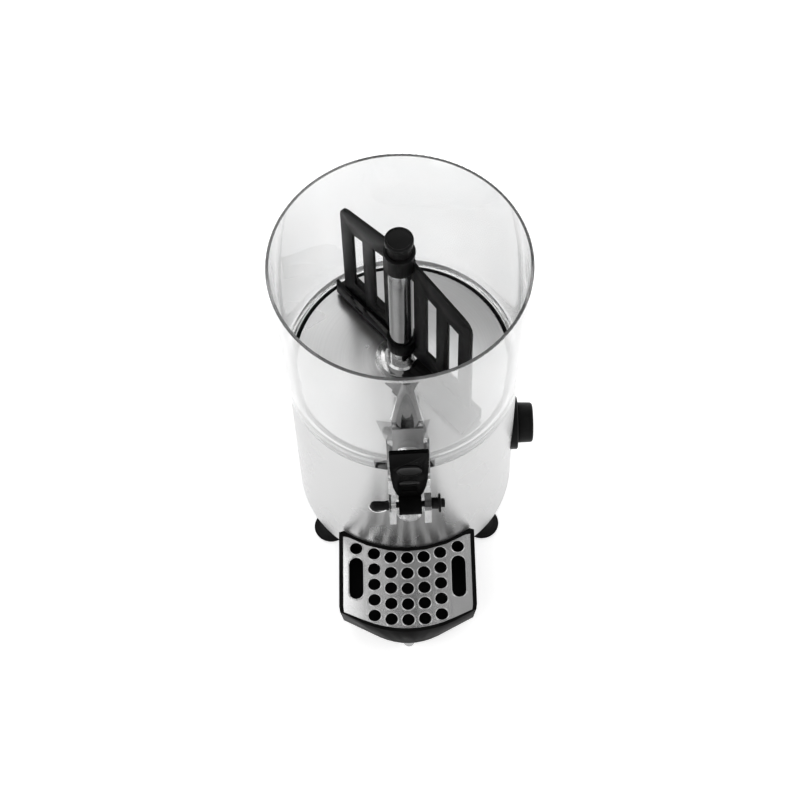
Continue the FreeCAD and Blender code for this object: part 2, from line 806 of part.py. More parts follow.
def switch_frame():
    body = new_body("switch_frame")
    z = d.switch_z
    raised(body, "YZ_Plane", 92, 23.8, lambda s: add_box(s, -9.8, 9.8, z - 13.2, z + 13.2))
    raised(body, "YZ_Plane", 115.6, 2.4, lambda s: add_box(s, -12, 12, z - 15.6, z + 15.6))
    sunk(body, "YZ_Plane", 119, 15, lambda s: add_box(s, -8, 8, z - 11.4, z + 11.4))
    reach = d.rocker_pivot_reach + 0.1
    sunk(body, "XZ_Plane", reach, reach * 2,
         lambda s: add_circle(s, d.rocker_pivot_x, z, d.rocker_pivot_r + 0.08))
    turn_about_z(body, d.switch_turn)
    return body


def switch_rocker():
    body = new_body("switch_rocker")
    z = d.switch_z
    raised(body, "XZ_Plane", -7.6, 15.2, lambda s: add_outline(s, [
        (109, z - 3), (115.0, z - 10.6), (119.2, z - 10.6), (117.6, z), (119.2, z + 10.6),
        (115.0, z + 10.6), (109, z + 3)]))
    reach = d.rocker_pivot_reach
    raised(body, "XZ_Plane", -reach, reach * 2,
           lambda s: add_circle(s, d.rocker_pivot_x, z, d.rocker_pivot_r))
    turn_about_z(body, d.switch_turn)
    return body


def cable_gland():
    body = new_body("cable_gland")
    shift = (0, 45, 0)
    made = sketch_on(body, "YZ_Plane", shift)
    made.AttachmentOffset = Placement(Vector(0, 45, 0), Rotation())
    add_outline(made, [(105, 4), (130, 4), (130, 7.4), (128.6, 8.8), (115.5, 8.8), (115.5, 7),
                       (105, 7)])
    feature = body.newObject("PartDesign::Revolution", "gland_turned")
    feature.Profile = made
    feature.ReferenceAxis = (made, ["H_Axis"])
    feature.Angle = 360
    finish(body, feature, made)
    return body


def gland_nut():
    body = new_body("gland_nut")
    raised(body, "XZ_Plane", -113, 5, lambda s: add_outline(
        s, [(x, z) for x, z in hexagon(11.5, 0, 45)]))
    sunk(body, "XZ_Plane", -107, 8, lambda s: add_circle(s, 0, 45, 7.1))
    return body


def terminal_block():
    body = new_body("terminal_block")
    low = d.plate_low + d.plate_thick + 0.05
    raised(body, "XY_Plane", low, 16, lambda s: add_box(s, 18, 62, 74, 90))
    for place in range(3):
        sunk(body, "XY_Plane", low + 17, 13, lambda s: add_circle(s, 26 + 14 * place, 82, 3))
    return body


# Mixer, modelled with its wings along X and turned at the end
def wing_outline():
    right = [(88, d.wing_low), (d.wing_r, d.wing_low + 2.6), (d.wing_r, 404), (90.0, 410), (87.4, 414.4),
             (84.0, 417.2), (79.5, 419.0), (13.5, 434.6), (13.5, 440)]
    left = [(-Cell.of(x), z) for x, z in reversed(right)]
    return right + left


def wing_windows(made):
    for side in (-1, 1):
        for near, far, low, near_top, far_top in ((30, 44.4, 295.5, 398.8, 395.4),
                                                  (59.9, 74.8, 298.0, 390.6, 386.6)):
            add_outline(made, [(side * near, low), (side * far, low), (side * far, far_top),
                               (side * near, near_top)])
    add_box(made, -13, 13, 297.4, 405.0)


def mixer_frame():
    body = new_body("mixer_frame")

    def plate(made):
        add_outline(made, wing_outline())
        wing_windows(made)

    back = d.wing_y + d.wing_thick
    raised(body, "XZ_Plane", -back, d.wing_thick, plate)
    turned(body, [(0, 281), (d.low_collar_r, 281), (d.low_collar_r, 297), (0, 297)])
    turned(body, [(0, 422.5), (d.high_collar_r - 0.8, 422.5), (d.high_collar_r - 0.8, 445),
                  (d.high_collar_r, 446), (d.high_collar_r, 448), (0, 448)])
    web_low, web_high = d.tube_high + 0.6, d.tube_high + 6.6
    turned(body, [(0, 260), (d.collar_bore_r, 260), (d.collar_bore_r, web_low), (0, web_low)], cut=True)
    turned(body, [(0, web_high), (11.0, web_high), (11.0, 449), (0, 449)], cut=True)

    def drive_hole(made):
        # the shaft's section with its two flats and 0.1 of room all round
        corner = [(2.95, d.shaft_r - 1.14),
                  (d.shaft_r - 0.38, 2.05),
                  (d.shaft_r + 0.12, 0.9)]
        right = corner + [(x, -y) for x, y in reversed(corner)]
        left = [(-x, -y) for x, y in right]
        add_outline(made, right + left)

    sunk(body, "XY_Plane", web_high + 1, 9, drive_hole)

    def rivet_holes(made):
        for x in rivet_spots():
            add_circle(made, x, 271.8, 1.7)
            add_circle(made, -x, 271.8, 1.7)

    sunk(body, "XZ_Plane", -d.wing_y + 1, 6, rivet_holes)
    turn_about_z(body, d.mixer_turn)
    return body


def rivet_spots():
    return (57.5, 77.0)


def scraper_blade(label, side):
    """A blade with an upright flange on the wing and a sloping foot that passes under the wing."""
    body = new_body(label)
    front = d.wing_y - 0.05

    def across(y):
        return y if side < 0 else 2 * d.wing_y + d.wing_thick - y

    points = [(front - 3, 254.9), (front, 254.9), (front, 262.4), (front + 22, 254.9), (front + 23.5, 256.5),
              (front + 4, 265.6), (front, 267.0), (front, 276), (front - 3, 276)]
    level = -101.8 if side < 0 else 16
    raised(body, "YZ_Plane", level, 85.8, lambda s: add_outline(s, [(across(y), z) for y, z in points]))
    sunk(body, "XY_Plane", 264, 10, lambda s: add_circle(s, 0, 0, d.nut_r + 2.1))

    def openings(made):
        for x in rivet_spots():
            add_circle(made, side * x, 271.8, 1.7)
        add_box(made, side * 67.2 - 6, side * 67.2 + 6, 257.5, 261.5)

    if side < 0:
        sunk(body, "XZ_Plane", -front + 4, 4.2, openings)
    else:
        sunk(body, "XZ_Plane", -(d.wing_y + d.wing_thick), 3.9, openings)
    turn_about_z(body, d.mixer_turn)
    return body


def scraper_rivets():
    unit = new_body("scraper_rivet_unit", keep=False)
    turned(unit, [(0, -4.7), (1.6, -4.7), (2.9, -3.9), (2.9, -3.12), (1.6, -3.12), (1.6, 3.1), (2.6, 3.1),
                  (2.6, 3.8), (1.8, 4.3), (0, 4.3)])
    places = []
    turn = Rotation(Vector(0, 0, 1), d.mixer_turn.value)
    for side in (-1, 1):
        lay = Rotation(Vector(1, 0, 0), -90) if side < 0 else Rotation(Vector(1, 0, 0), 90)
        y = d.wing_y.value - 0.05 if side < 0 else d.wing_y.value + d.wing_thick.value + 0.05
        for x in rivet_spots():
            at = turn.multVec(Vector(side * x, y, 271.8))
            places.append(Placement(at, turn.multiply(lay)))
    return copies("scraper_rivets", unit, places)


def mixer_cap():
    body = new_body("mixer_cap")
    seat, top, r = d.tube_high + 6.7, d.cap_top, d.cap_r
    turned(body, [(3.1, seat), (10.8, seat), (10.8, 448.6), (11.6, 449.4), (11.6, 459), (r, 461.2),
                  (r, top - 0.6), (r - 0.6, top), (11.4, top), (11.1, top - 0.7), (0, top - 0.7),
                  (0, 460), (3.1, 460)])
    turn_about_z(body, d.mixer_turn)
    return body


# Bowl and tap, modelled straight ahead and turned with the bowl
def bowl():
    body = new_body("bowl")
    low, high = d.bowl_low, d.bowl_high
    turned(body, [(0, low), (d.bowl_low_r, low), (d.bowl_high_r, high), (0, high)])
    lofted(body, (0, -111, 18.5, 348), (0, -117.4, 7.2, 421))
    raised(body, "XY_Plane", 285, 63, lambda s: add_box(s, -14.6, 14.6, -128, -110))
    raised(body, "XY_Plane", d.spout_low, d.spout_high - d.spout_low,
           lambda s: add_circle(s, 0, d.spout_y, d.spout_r))
    rim = d.spout_r + 1.0
    raised(body, "XY_Plane", d.spout_high - 3, 3, lambda s: add_circle(s, 0, d.spout_y, rim))
    ear = [(-112, 237.5), (-117.6, 237.5), (-117.6, 214), (-158.5, 206), (-161, 208.5), (-161, 244),
           (-158, 248), (-150, 251), (-144.6, 254.5), (-124, 304), (-112, 304)]
    for level in (d.ear_in, -d.ear_out):
        raised(body, "YZ_Plane", level, d.ear_out - d.ear_in, lambda s: add_outline(s, ear))
    raised(body, "XY_Plane", 214, 86, lambda s: add_box(s, -14.2, 14.2, -126, -117.6))
    raised(body, "XY_Plane", 237.5, 62.5, lambda s: add_box(s, -14.2, 14.2, -120, -110))
    inner = d.bowl_low_r - d.bowl_wall
    turned(body, [(0, low - 1), (inner - 0.7, low - 1), (inner - 0.7, 246), (inner - 3.3, 246.8),
                  (inner - 3.3, 252.6), (inner + 0.6, 256.6), (d.bowl_high_r - d.bowl_wall, high + 1),
                  (0, high + 1)], cut=True)
    lofted(body, (0, -111, 15.6, 345), (0, -117.4, 4.2, 419), cut=True)
    sunk(body, "XY_Plane", d.spout_high + 1, 130, lambda s: add_circle(s, 0, d.spout_y, d.spout_bore_r))
    sunk(body, "XZ_Plane", 122, 15, lambda s: add_circle(s, 0, d.channel_z, d.channel_r))
    sunk(body, "XZ_Plane", 150, 12, lambda s: add_box(s, -5.9, 5.9, d.pin_z - 10, d.pin_z + 10))
    sunk(body, "YZ_Plane", d.ear_out + 1, 2 * d.ear_out + 2,
         lambda s: add_circle(s, d.pin_y, d.pin_z, d.pin_r + 0.1))
    round_off(body, 0.9, flat_circle_at(d.bowl_high_r.value, high.value))
    turn_about_z(body, d.bowl_turn)
    return body


def tap_lever():
    body = new_body("tap_lever")
    half = d.hub_half
    turned_on_x(body, [(-half, d.pin_r + 0.06), (half, d.pin_r + 0.06), (half, d.hub_r),
                       (-half, d.hub_r)], d.pin_y, d.pin_z)
    side = [(10.5, 240), (10.8, 247), (13.2, 254), (15.6, 266), (17.2, 282), (18.3, 305), (18.6, 334.4),
            (17.2, 336)]
    outline = side + [(-x, z) for x, z in reversed(side)]
    raised(body, "XZ_Plane", 145.4, 4.4, lambda s: add_outline(s, outline))
    sunk(body, "XZ_Plane", 150, 2.4, lambda s: add_circle(s, 0, 301, 10.4))
    sunk(body, "XZ_Plane", 150, 1.4, lambda s: add_box(s, -7, 7, 257.6, 260.4))
    angle = math.radians(d.finger_drop.value)
    run, drop = math.cos(angle), math.sin(angle)

    def along(reach, off):
        reach, off = Cell.of(reach), Cell.of(off)
        return d.pin_y + reach * run + off * drop, d.pin_z - reach * drop + off * run

    neck = [along(8.6, -1.6), along(d.finger_len, -1.6), along(d.finger_len, 1.6), along(8.6, 1.6)]
    raised(body, "YZ_Plane", -5, 10, lambda s: add_outline(s, neck))
    tip_y, tip_z = along(d.finger_len, 0)
    raised(body, "YZ_Plane", -5, 10, lambda s: add_circle(s, tip_y, tip_z, d.finger_r))
    turn_about_z(body, d.bowl_turn)
    return body


def tap_pin():
    """Hinge pin with a moulded handle on its left end."""
    body = new_body("tap_pin")
    face = -d.ear_out - 0.3
    turned_on_x(body, [(face - 18, 0), (face - 17.7, 2.6), (face - 16.4, 4.2), (face - 14.4, 5),
                       (face - 4, 4.4), (face - 1.2, 4.9), (face, 4.9), (face, d.pin_r),
                       (30, d.pin_r), (30, 0)], d.pin_y, d.pin_z)
    turn_about_z(body, d.bowl_turn)
    return body


def pin_knob():
    body = new_body("pin_knob")
    face = d.ear_out + 0.3
    bore = d.pin_r + 0.05
    turned_on_x(body, [(face, bore), (face, 5.6), (face + 6.2, 5.6), (face + 6.6, 8.7),
                       (face + 8.8, 8.7), (face + 9.2, 4.4), (face + 12.4, 4.4), (face + 12.9, 3.6), (face + 12.9, 0),
                       (30.1, 0), (30.1, bore)], d.pin_y, d.pin_z)
    turn_about_z(body, d.bowl_turn)
    return body


def tap_piston():
    """Spool of the tap: a port in its back leads down to its open lower end."""
    body = new_body("tap_piston")
    r, low, high = d.piston_r, d.piston_low, d.piston_high
    outline = [(0, low), (r - 0.8, low), (r, low + 0.8)]
    for level in seal_levels():
        low_side, high_side = level - 1.05, level + 1.05
        outline += [(r, low_side), (r - 1.5, low_side), (r - 1.5, high_side), (r, high_side)]
    outline += [(r, high - 0.8), (r - 0.8, high), (0, high)]
    turned(body, outline, (0, d.spout_y))
    back = d.spout_y + 3.8
    sunk(body, "XY_Plane", 254, 56, lambda s: add_circle(s, 0, back, d.channel_r))
    sunk(body, "XZ_Plane", -back, 12, lambda s: add_circle(s, 0, d.channel_z - d.stroke, d.channel_r))
    sunk(body, "XY_Plane", high + 1, high + 1 - d.spring_low,
         lambda s: add_circle(s, 0, d.spout_y, 8.0))
    tip_z = d.pin_z - d.finger_len * math.sin(math.radians(d.finger_drop.value))
    sunk(body, "XZ_Plane", 142, 9.4,
         lambda s: add_box(s, -5.6, 5.6, tip_z - d.notch_half, tip_z + d.notch_half))
    turn_about_z(body, d.bowl_turn)
    return body


def seal_levels():
    return [208, 255.65, 275]


def piston_seals():
    ring = doc.addObject("Part::Torus", "seal_unit")
    ring.Radius1 = 10.2
    ring.Radius2 = 0.75
    doc.recompute()
    turn = Rotation(Vector(0, 0, 1), d.bowl_turn.value)
    at = turn.multVec(Vector(0, d.spout_y.value, 0))
    places = [Placement(Vector(at.x, at.y, level), turn) for level in seal_levels()]
    return copies("piston_seals", ring, places)


def tap_cap():
    body = new_body("tap_cap")
    r, low = d.spout_bore_r - 0.05, d.cap_low
    turned(body, [(0, low), (r, low), (r, low + 4.8), (r - 1.2, low + 5.8), (r - 3, low + 5.8),
                  (r - 3.6, low + 4.6), (0, low + 4.6)], (0, d.spout_y))
    turn_about_z(body, d.bowl_turn)
    return body


def tap_spring():
    wire, r = d.wire_r.value, d.spring_r.value
    low = d.spring_low.value + wire + 0.1
    high = d.cap_low.value - wire - 0.1
    pitch = (high - low) / d.spring_turns.value
    print("tap_spring: gap between turns %.2f mm" % (pitch - 2 * wire))
    helix = Part.makeHelix(pitch, high - low, r)
    circle = Part.Wire([Part.makeCircle(wire, Vector(r, 0, 0), Vector(0, 1, 0))])
    coil = Part.Wire(helix.Edges).makePipeShell([circle], True, True)
    made = doc.addObject("Part::Feature", "tap_spring")
    made.Label = "tap_spring"
    made.Shape = coil
    turn = Rotation(Vector(0, 0, 1), d.bowl_turn.value)
    at = turn.multVec(Vector(0, d.spout_y.value, 0))
    made.Placement = Placement(Vector(at.x, at.y, low), turn)
    NODES.append(made)
    return made


# Drip tray, grille and what carries them
def tray_outline(corner_x, corner_y, knee_x, knee_y, nose_y, side_x, back, gap=0.0):
    """Right side forward to the nose and back on the left; back() gives the hollow back edge."""
    right = [(side_x - gap, -96.0 - gap), (side_x - gap, corner_y + 6.0), (corner_x - gap, corner_y),
             (knee_x, knee_y + gap)]
    drop = knee_y - nose_y
    for share in (0.75, 0.5, 0.25):
        right.append((knee_x * share, knee_y + gap - drop * (1 - share * share)))
    left = [(-x, y) for x, y in reversed(right)]
    return right + [(0, nose_y + gap)] + left + back


def back_edge(radius, half):
    """Points on the hollow back edge, from left to right."""
    spots = []
    for share in (-1, -0.67, -0.33, 0, 0.33, 0.67, 1):
        x = half * share
        spots.append((x, -math.sqrt(radius * radius - x * x)))
    return spots


def loft_outlines(body, low, low_points, high, high_points, cut=False):
    rings = []
    for level, points in ((low, low_points), (high, high_points)):
        made = sketch_on(body, "XY_Plane", (0, 0, level))
        add_outline(made, points)
        rings.append(made)
    kind = "PartDesign::SubtractiveLoft" if cut else "PartDesign::AdditiveLoft"
    feature = body.newObject(kind, body.Label + "_loft")
    feature.Profile = rings[0]
    feature.Sections = [rings[1]]
    feature.Ruled = True
    rings[1].Visibility = False
    return finish(body, feature, rings[0])


def rim_outline(gap):
    back = back_edge(d.tray_back_r.value + gap * 0.75, 67.0 - gap)
    return tray_outline(71.0, -187.0, 48.2, -199.5, -210.7, d.tray_half.value, back, gap)


def floor_outline(gap):
    back = back_edge(d.tray_back_r.value + gap * 0.75, 65.0 - gap)
    return tray_outline(68.2, -184.5, 30.1, -204.7, -211.9, 69.2, back, gap)


def peg_spots():
    return [(-40, -121), (40, -121)]


def drip_tray():
    body = new_body("drip_tray")
    low, top = d.tray_low, d.tray_top
    loft_outlines(body, low, floor_outline(0.0), top, rim_outline(0.0))
    sunk(body, "XY_Plane", top + 1, 32, lambda s: add_circle(s, 0, 0, d.tray_back_r))
    sunk(body, "XY_Plane", top + 1, 3.6, lambda s: add_outline(s, rim_outline(4.0)))
    loft_outlines(body, low + 3, floor_outline(7.0), top - 2.4, rim_outline(7.4), cut=True)

    def bosses(made):
        for x, y in peg_spots():
            add_circle(made, x, y, 6)

    def sockets(made):
        for x, y in peg_spots():
            add_circle(made, x, y, 3.4)

    raised(body, "XY_Plane", low + 2, 14, bosses)
    sunk(body, "XY_Plane", low - 1, 14, sockets, backward=True)
    return body


def tray_foot():
    body = new_body("tray_foot")
    high = d.tray_low - 0.05
    turned(body, [(0, 0), (5.4, 0), (6, 0.8), (6, 14), (4.6, 16), (4.6, high), (0, high)], (0, -201.5))
    return body


def tray_pegs():
    """Two brackets on the shell with pegs that reach up into the tray's floor."""
    unit = new_body("tray_peg_unit", keep=False)
    top = d.tray_low - 0.1
    raised(unit, "XY_Plane", top - 3.4, 3.4, lambda s: add_box(s, 36, 44, -126, -100))
    raised(unit, "XY_Plane", top - 1, 13, lambda s: add_circle(s, 40, -121, 3))
    sunk(unit, "XY_Plane", top + 1, 10, lambda s: add_circle(s, 0, 0, d.housing_r + 0.05))
    made = doc.addObject("Part::Feature", "tray_pegs")
    made.Label = "tray_pegs"
    other = unit.Shape.mirror(Vector(0, 0, 0), Vector(1, 0, 0))
    made.Shape = Part.makeCompound([unit.Shape.copy(), other])
    NODES.append(made)
    return made


def drain_holes():
    spots = []
    for column, first in ((0, -126.9), (1, -125.9), (2, -121.4)):
        for row in range(5):
            for side in ((0,) if column == 0 else (-1, 1)):
                spots.append((d.hole_pitch * (column * side), first - d.hole_pitch * row))
    spots += [(-53.8, -115.0), (53.8, -115.0)]
    return spots


def slot_outline(x, half, near, far):
    """A slot along Y with rounded ends."""
    spots = []
    for at in range(7):
        angle = math.pi * at / 6
        spots.append((x + half * math.cos(angle), near - half + half * math.sin(angle)))
    for at in range(7):
        angle = math.pi * (1 + at / 6.0)
        spots.append((x + half * math.cos(angle), far + half + half * math.sin(angle)))
    return spots


def drip_grille():
    body = new_body("drip_grille")
    low = d.tray_top - 2.4
    raised(body, "XY_Plane", low, 1.1, lambda s: add_outline(s, rim_outline(4.3)))

    def collars(made):
        for x, y in drain_holes():
            add_circle(made, x, y, d.hole_r + 1.1)

    raised(body, "XY_Plane", low + 0.5, 1.2, collars)
    for x in (-53.9, 53.9):
        raised(body, "XY_Plane", low + 0.5, 1.2,
               lambda s: add_outline(s, slot_outline(x, 8.5, -124.4, -173.7)))

    def holes(made):
        for x, y in drain_holes():
            add_circle(made, x, y, d.hole_r)
        for x in (-53.9, 53.9):
            add_outline(made, slot_outline(x, 7.45, -125.5, -172.6))

    sunk(body, "XY_Plane", low + 3, 5, holes)
    return body


# Everything, in the order of the list
BUILDERS = [
    housing_shell, base_plate, rubber_feet, foot_screws, foot_nuts, water_tank, heating_pan, pan_gasket,
    bowl_stop, column_tube, column_flange, column_nuts, heating_element, element_nuts, safety_thermostat,
    gearbox_case, motor_bracket, bracket_screws, motor_core, motor_coil, motor_rotor, rotor_pinion,
    middle_gear, output_gear, output_shaft, shaft_coupling, drive_shaft, shaft_bushes, thermostat_body,
    thermostat_spindle, knob_bezel, thermostat_knob, switch_frame, switch_rocker, cable_gland, gland_nut,
    terminal_block, mixer_frame, scraper_rivets, mixer_cap, bowl, tap_lever, tap_pin, pin_knob,
    tap_piston, piston_seals, tap_cap, tap_spring, tray_pegs, drip_tray, tray_foot, drip_grille,
]


def check_and_write():
    doc.recompute()
    for thing in doc.Objects:
        if "Invalid" in thing.State or "Error" in thing.State:
            raise RuntimeError("%s is %s" % (thing.Label, thing.State))
    for node in NODES:
        shape = node.Shape
        if shape.isNull() or not shape.isValid() or not shape.Solids:
            raise RuntimeError("%s has no valid solid" % node.Label)
        box = shape.BoundBox
        print("%-20s solids %d  x %.1f %.1f  y %.1f %.1f  z %.1f %.1f" % (
            node.Label, len(shape.Solids), box.XMin, box.XMax, box.YMin, box.YMax, box.ZMin, box.ZMax))
        shape.exportStep("parts/%s.step" % node.Label)


for build in BUILDERS:
    build()
scraper_blade("scraper_blade_left", -1)
scraper_blade("scraper_blade_right", 1)
check_and_write()
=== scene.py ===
"""Counter-top hot chocolate dispenser: steel heating base, clear bowl with a mixer, tap and drip tray."""

import json
import math

import bmesh
import bpy
from mathutils import Matrix, Vector


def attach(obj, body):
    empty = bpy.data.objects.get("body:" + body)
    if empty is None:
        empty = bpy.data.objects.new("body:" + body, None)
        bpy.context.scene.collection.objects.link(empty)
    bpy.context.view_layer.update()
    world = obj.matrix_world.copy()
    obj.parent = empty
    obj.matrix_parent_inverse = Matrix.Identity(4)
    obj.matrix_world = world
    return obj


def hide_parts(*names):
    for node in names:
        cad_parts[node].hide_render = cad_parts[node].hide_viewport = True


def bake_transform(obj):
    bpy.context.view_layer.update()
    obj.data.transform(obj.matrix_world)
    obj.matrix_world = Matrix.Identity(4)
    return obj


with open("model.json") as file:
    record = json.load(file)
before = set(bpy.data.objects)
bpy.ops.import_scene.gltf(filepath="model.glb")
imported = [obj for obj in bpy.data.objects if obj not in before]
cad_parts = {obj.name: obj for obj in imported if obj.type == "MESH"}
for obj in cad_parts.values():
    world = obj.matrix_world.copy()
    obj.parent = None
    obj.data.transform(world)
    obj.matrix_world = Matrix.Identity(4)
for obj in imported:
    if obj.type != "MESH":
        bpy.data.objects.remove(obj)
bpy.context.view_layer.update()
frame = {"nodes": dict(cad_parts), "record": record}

MM = 0.001
BOWL_TURN = math.radians(1.7)
BOWL_RIM = 427.1 * MM
SWITCH_TURN = math.radians(40)
SHARP_EDGE = 34
MORE_THAN_FITS = 0.5


# Shader kit

class Signal:
    """A number that changes over a surface. Arithmetic on it adds Math nodes."""

    def __init__(self, tree, socket):
        self.tree = tree
        self.socket = socket

    def joined(self, operation, first, second=None):
        node = self.tree.nodes.new("ShaderNodeMath")
        node.operation = operation
        for slot, value in zip(node.inputs, (first, second)):
            if isinstance(value, Signal):
                self.tree.links.new(value.socket, slot)
            elif value is not None:
                slot.default_value = value
        return Signal(self.tree, node.outputs[0])

    def __add__(self, other):
        return self.joined("ADD", self, other)

    def __sub__(self, other):
        return self.joined("SUBTRACT", self, other)

    def __rsub__(self, other):
        return self.joined("SUBTRACT", other, self)

    def __mul__(self, other):
        return self.joined("MULTIPLY", self, other)

    def __truediv__(self, other):
        return self.joined("DIVIDE", self, other)

    def __pow__(self, other):
        return self.joined("POWER", self, other)

    def __abs__(self):
        return self.joined("ABSOLUTE", self)

    def below(self, other):
        return self.joined("LESS_THAN", self, other)

    def above(self, other):
        return self.joined("GREATER_THAN", self, other)

    __radd__ = __add__
    __rmul__ = __mul__


class Finish:
    """One finish of the machine: a Principled surface and what varies it."""

    def __init__(self, name, **fixed):
        self.material = bpy.data.materials.new(name)
        self.material.use_nodes = True
        self.tree = self.material.node_tree
        self.tree.nodes.clear()
        self.shader = self.tree.nodes.new("ShaderNodeBsdfPrincipled")
        output = self.tree.nodes.new("ShaderNodeOutputMaterial")
        self.tree.links.new(self.shader.outputs[0], output.inputs["Surface"])
        for word, value in fixed.items():
            self.shader.inputs[word.replace("_", " ")].default_value = value

    def node(self, kind, settings=None, sockets=None, out=0):
        made = self.tree.nodes.new(kind)
        for word, value in (settings or {}).items():
            setattr(made, word, value)
        for word, value in (sockets or {}).items():
            if isinstance(value, Signal):
                self.tree.links.new(value.socket, made.inputs[word])
            else:
                made.inputs[word].default_value = value
        return Signal(self.tree, made.outputs[out])

    def feed(self, word, signal):
        self.tree.links.new(signal.socket, self.shader.inputs[word])

    def place(self):
        return self.node("ShaderNodeTexCoord", out=3)

    def stretched(self, across, along, up):
        """Object coordinates scaled on their own axes, so that a noise on them has a grain."""
        return self.node("ShaderNodeMapping", {"vector_type": "POINT"},
                         {"Vector": self.place(), "Scale": (across, along, up)})

    def noise(self, where, scale, detail=3.0, rough=0.55):
        return self.node("ShaderNodeTexNoise", {"noise_dimensions": "3D"},
                         {"Vector": where, "Scale": scale, "Detail": detail, "Roughness": rough})

    def axes(self):
        split = self.node("ShaderNodeSeparateXYZ", None, {"Vector": self.place()})
        owner = split.socket.node
        return [Signal(self.tree, owner.outputs[i]) for i in range(3)]

    def ramp(self, value, low, high, dark, light):
        return self.node("ShaderNodeMapRange", {"clamp": True},
                         {"Value": value, "From Min": low, "From Max": high,
                          "To Min": dark, "To Max": light})

    def mixed(self, share, first, second):
        """A colour between two, by a share from 0 to 1."""
        made = self.tree.nodes.new("ShaderNodeMix")
        made.data_type = "RGBA"
        self.tree.links.new(share.socket, made.inputs["Factor"])
        colours = [slot for slot in made.inputs if slot.type == "RGBA"]
        for slot, value in zip(colours, (first, second)):
            if isinstance(value, Signal):
                self.tree.links.new(value.socket, slot)
            else:
                slot.default_value = value
        out = [slot for slot in made.outputs if slot.type == "RGBA"][0]
        return Signal(self.tree, out)

    def bumped(self, height, depth):
        made = self.node("ShaderNodeBump", None, {"Height": height, "Distance": depth, "Strength": 1.0})
        self.feed("Normal", made)


def grey(value, warmth=0.0):
    return (value * (1 + warmth), value, value * (1 - warmth), 1.0)


# Finishes

def brushed_sheet(name, shade, smooth, grain, depth, hairs=2600.0, tilt=(0, 0, 1), **fixed):
    """Steel sheet with its brushing in lines: the lines run across the tilt axis."""
    made = Finish(name, Metallic=1.0, **fixed)
    scales = [hairs if part else grain for part in tilt]
    hair = made.noise(made.stretched(*scales), 1.0, 3.0, 0.7)
    cloud = made.noise(made.place(), 14.0, 2.0, 0.5)
    shade_share = made.ramp(hair * 0.7 + cloud * 0.3, 0.3, 0.7, 0.0, 1.0)
    made.feed("Base Color", made.mixed(shade_share, grey(shade * 0.93), grey(shade)))
    made.feed("Roughness", made.ramp(cloud, 0.3, 0.7, smooth, smooth + 0.06))
    made.bumped(hair, depth)
    return made.material


def turned_sheet(name, shade, smooth, rings):
    """Steel turned on a lathe, with fine rings about the column's axis."""
    made = Finish(name, Metallic=1.0, Anisotropic=0.6, Anisotropic_Rotation=0.25)
    x, y = made.axes()[:2]
    reach = (x * x + y * y) ** 0.5
    wander = made.noise(made.place(), 9.0, 2.0, 0.5)
    ring = made.node("ShaderNodeTexNoise", {"noise_dimensions": "1D"},
                     {"W": reach * rings + wander * 0.6, "Scale": 1.0, "Detail": 3.0, "Roughness": 0.7})
    stain = made.noise(made.place(), 16.0, 2.0, 0.5)
    share = made.ramp(ring * 0.6 + stain * 0.4, 0.35, 0.65, 0.0, 1.0)
    made.feed("Base Color", made.mixed(share, grey(shade * 0.94), grey(shade)))
    made.feed("Roughness", made.ramp(stain, 0.3, 0.7, smooth, smooth + 0.05))
    made.bumped(stain, 0.0004)
    return made.material


GRILLE_CROWN = -0.9


def crowned_sheet(name, shade, smooth):
    """Pressed sheet with a slight crown across it, so that its sheen runs from side to side."""
    made = Finish(name, Metallic=1.0)
    x = made.axes()[0]
    haze = made.noise(made.stretched(260.0, 18.0, 60.0), 1.0, 2.0, 0.5)
    made.feed("Base Color", made.mixed(made.ramp(haze, 0.3, 0.7, 0.0, 1.0), grey(shade * 0.92), grey(shade)))
    made.feed("Roughness", made.ramp(haze, 0.3, 0.7, smooth, smooth + 0.05))
    made.bumped(x * x * GRILLE_CROWN, 1.0)
    return made.material


def bright_metal(name, colour, smooth, marks=0.000004):
    """Polished or plated metal with a light haze and hairline marks."""
    made = Finish(name, Metallic=1.0)
    haze = made.noise(made.place(), 60.0, 4.0, 0.6)
    hairs = made.noise(made.stretched(500.0, 500.0, 60.0), 1.0, 1.0, 0.5)
    dull = tuple(part * 0.9 for part in colour[:3]) + (1.0,)
    made.feed("Base Color", made.mixed(made.ramp(haze, 0.35, 0.7, 0.0, 1.0), colour, dull))
    made.feed("Roughness", made.ramp(haze, 0.3, 0.7, smooth, smooth + 0.07))
    made.bumped(hairs, marks)
    return made.material


def moulded(name, colour, smooth, texture=900.0, depth=0.00004, gloss=0.5, spread=0.1):
    """Moulded plastic: a fine spark-eroded skin, slight mottling and a few rubbed patches."""
    made = Finish(name, Specular_IOR_Level=gloss)
    skin = made.noise(made.place(), texture, 2.0, 0.5)
    mottle = made.noise(made.place(), 45.0, 3.0, 0.6)
    lighter = tuple(part * 1.25 + 0.002 for part in colour[:3]) + (1.0,)
    made.feed("Base Color", made.mixed(made.ramp(mottle, 0.35, 0.7, 0.0, 1.0), colour, lighter))
    made.feed("Roughness", made.ramp(mottle, 0.3, 0.7, smooth, smooth + spread))
    made.bumped(skin, depth)
    return made.material


def rubber(name, colour):
    """Matt rubber with a dusty bloom."""
    made = Finish(name, Specular_IOR_Level=0.08)
    pores = made.noise(made.place(), 1400.0, 2.0, 0.5)
    bloom = made.noise(made.place(), 120.0, 4.0, 0.65)
    dusty = tuple(part + 0.008 for part in colour[:3]) + (1.0,)
    made.feed("Base Color", made.mixed(made.ramp(bloom, 0.45, 0.75, 0.0, 1.0), colour, dusty))
    made.feed("Roughness", made.ramp(bloom, 0.3, 0.7, 0.55, 0.75))
    made.bumped(pores, 0.00005)
    return made.material


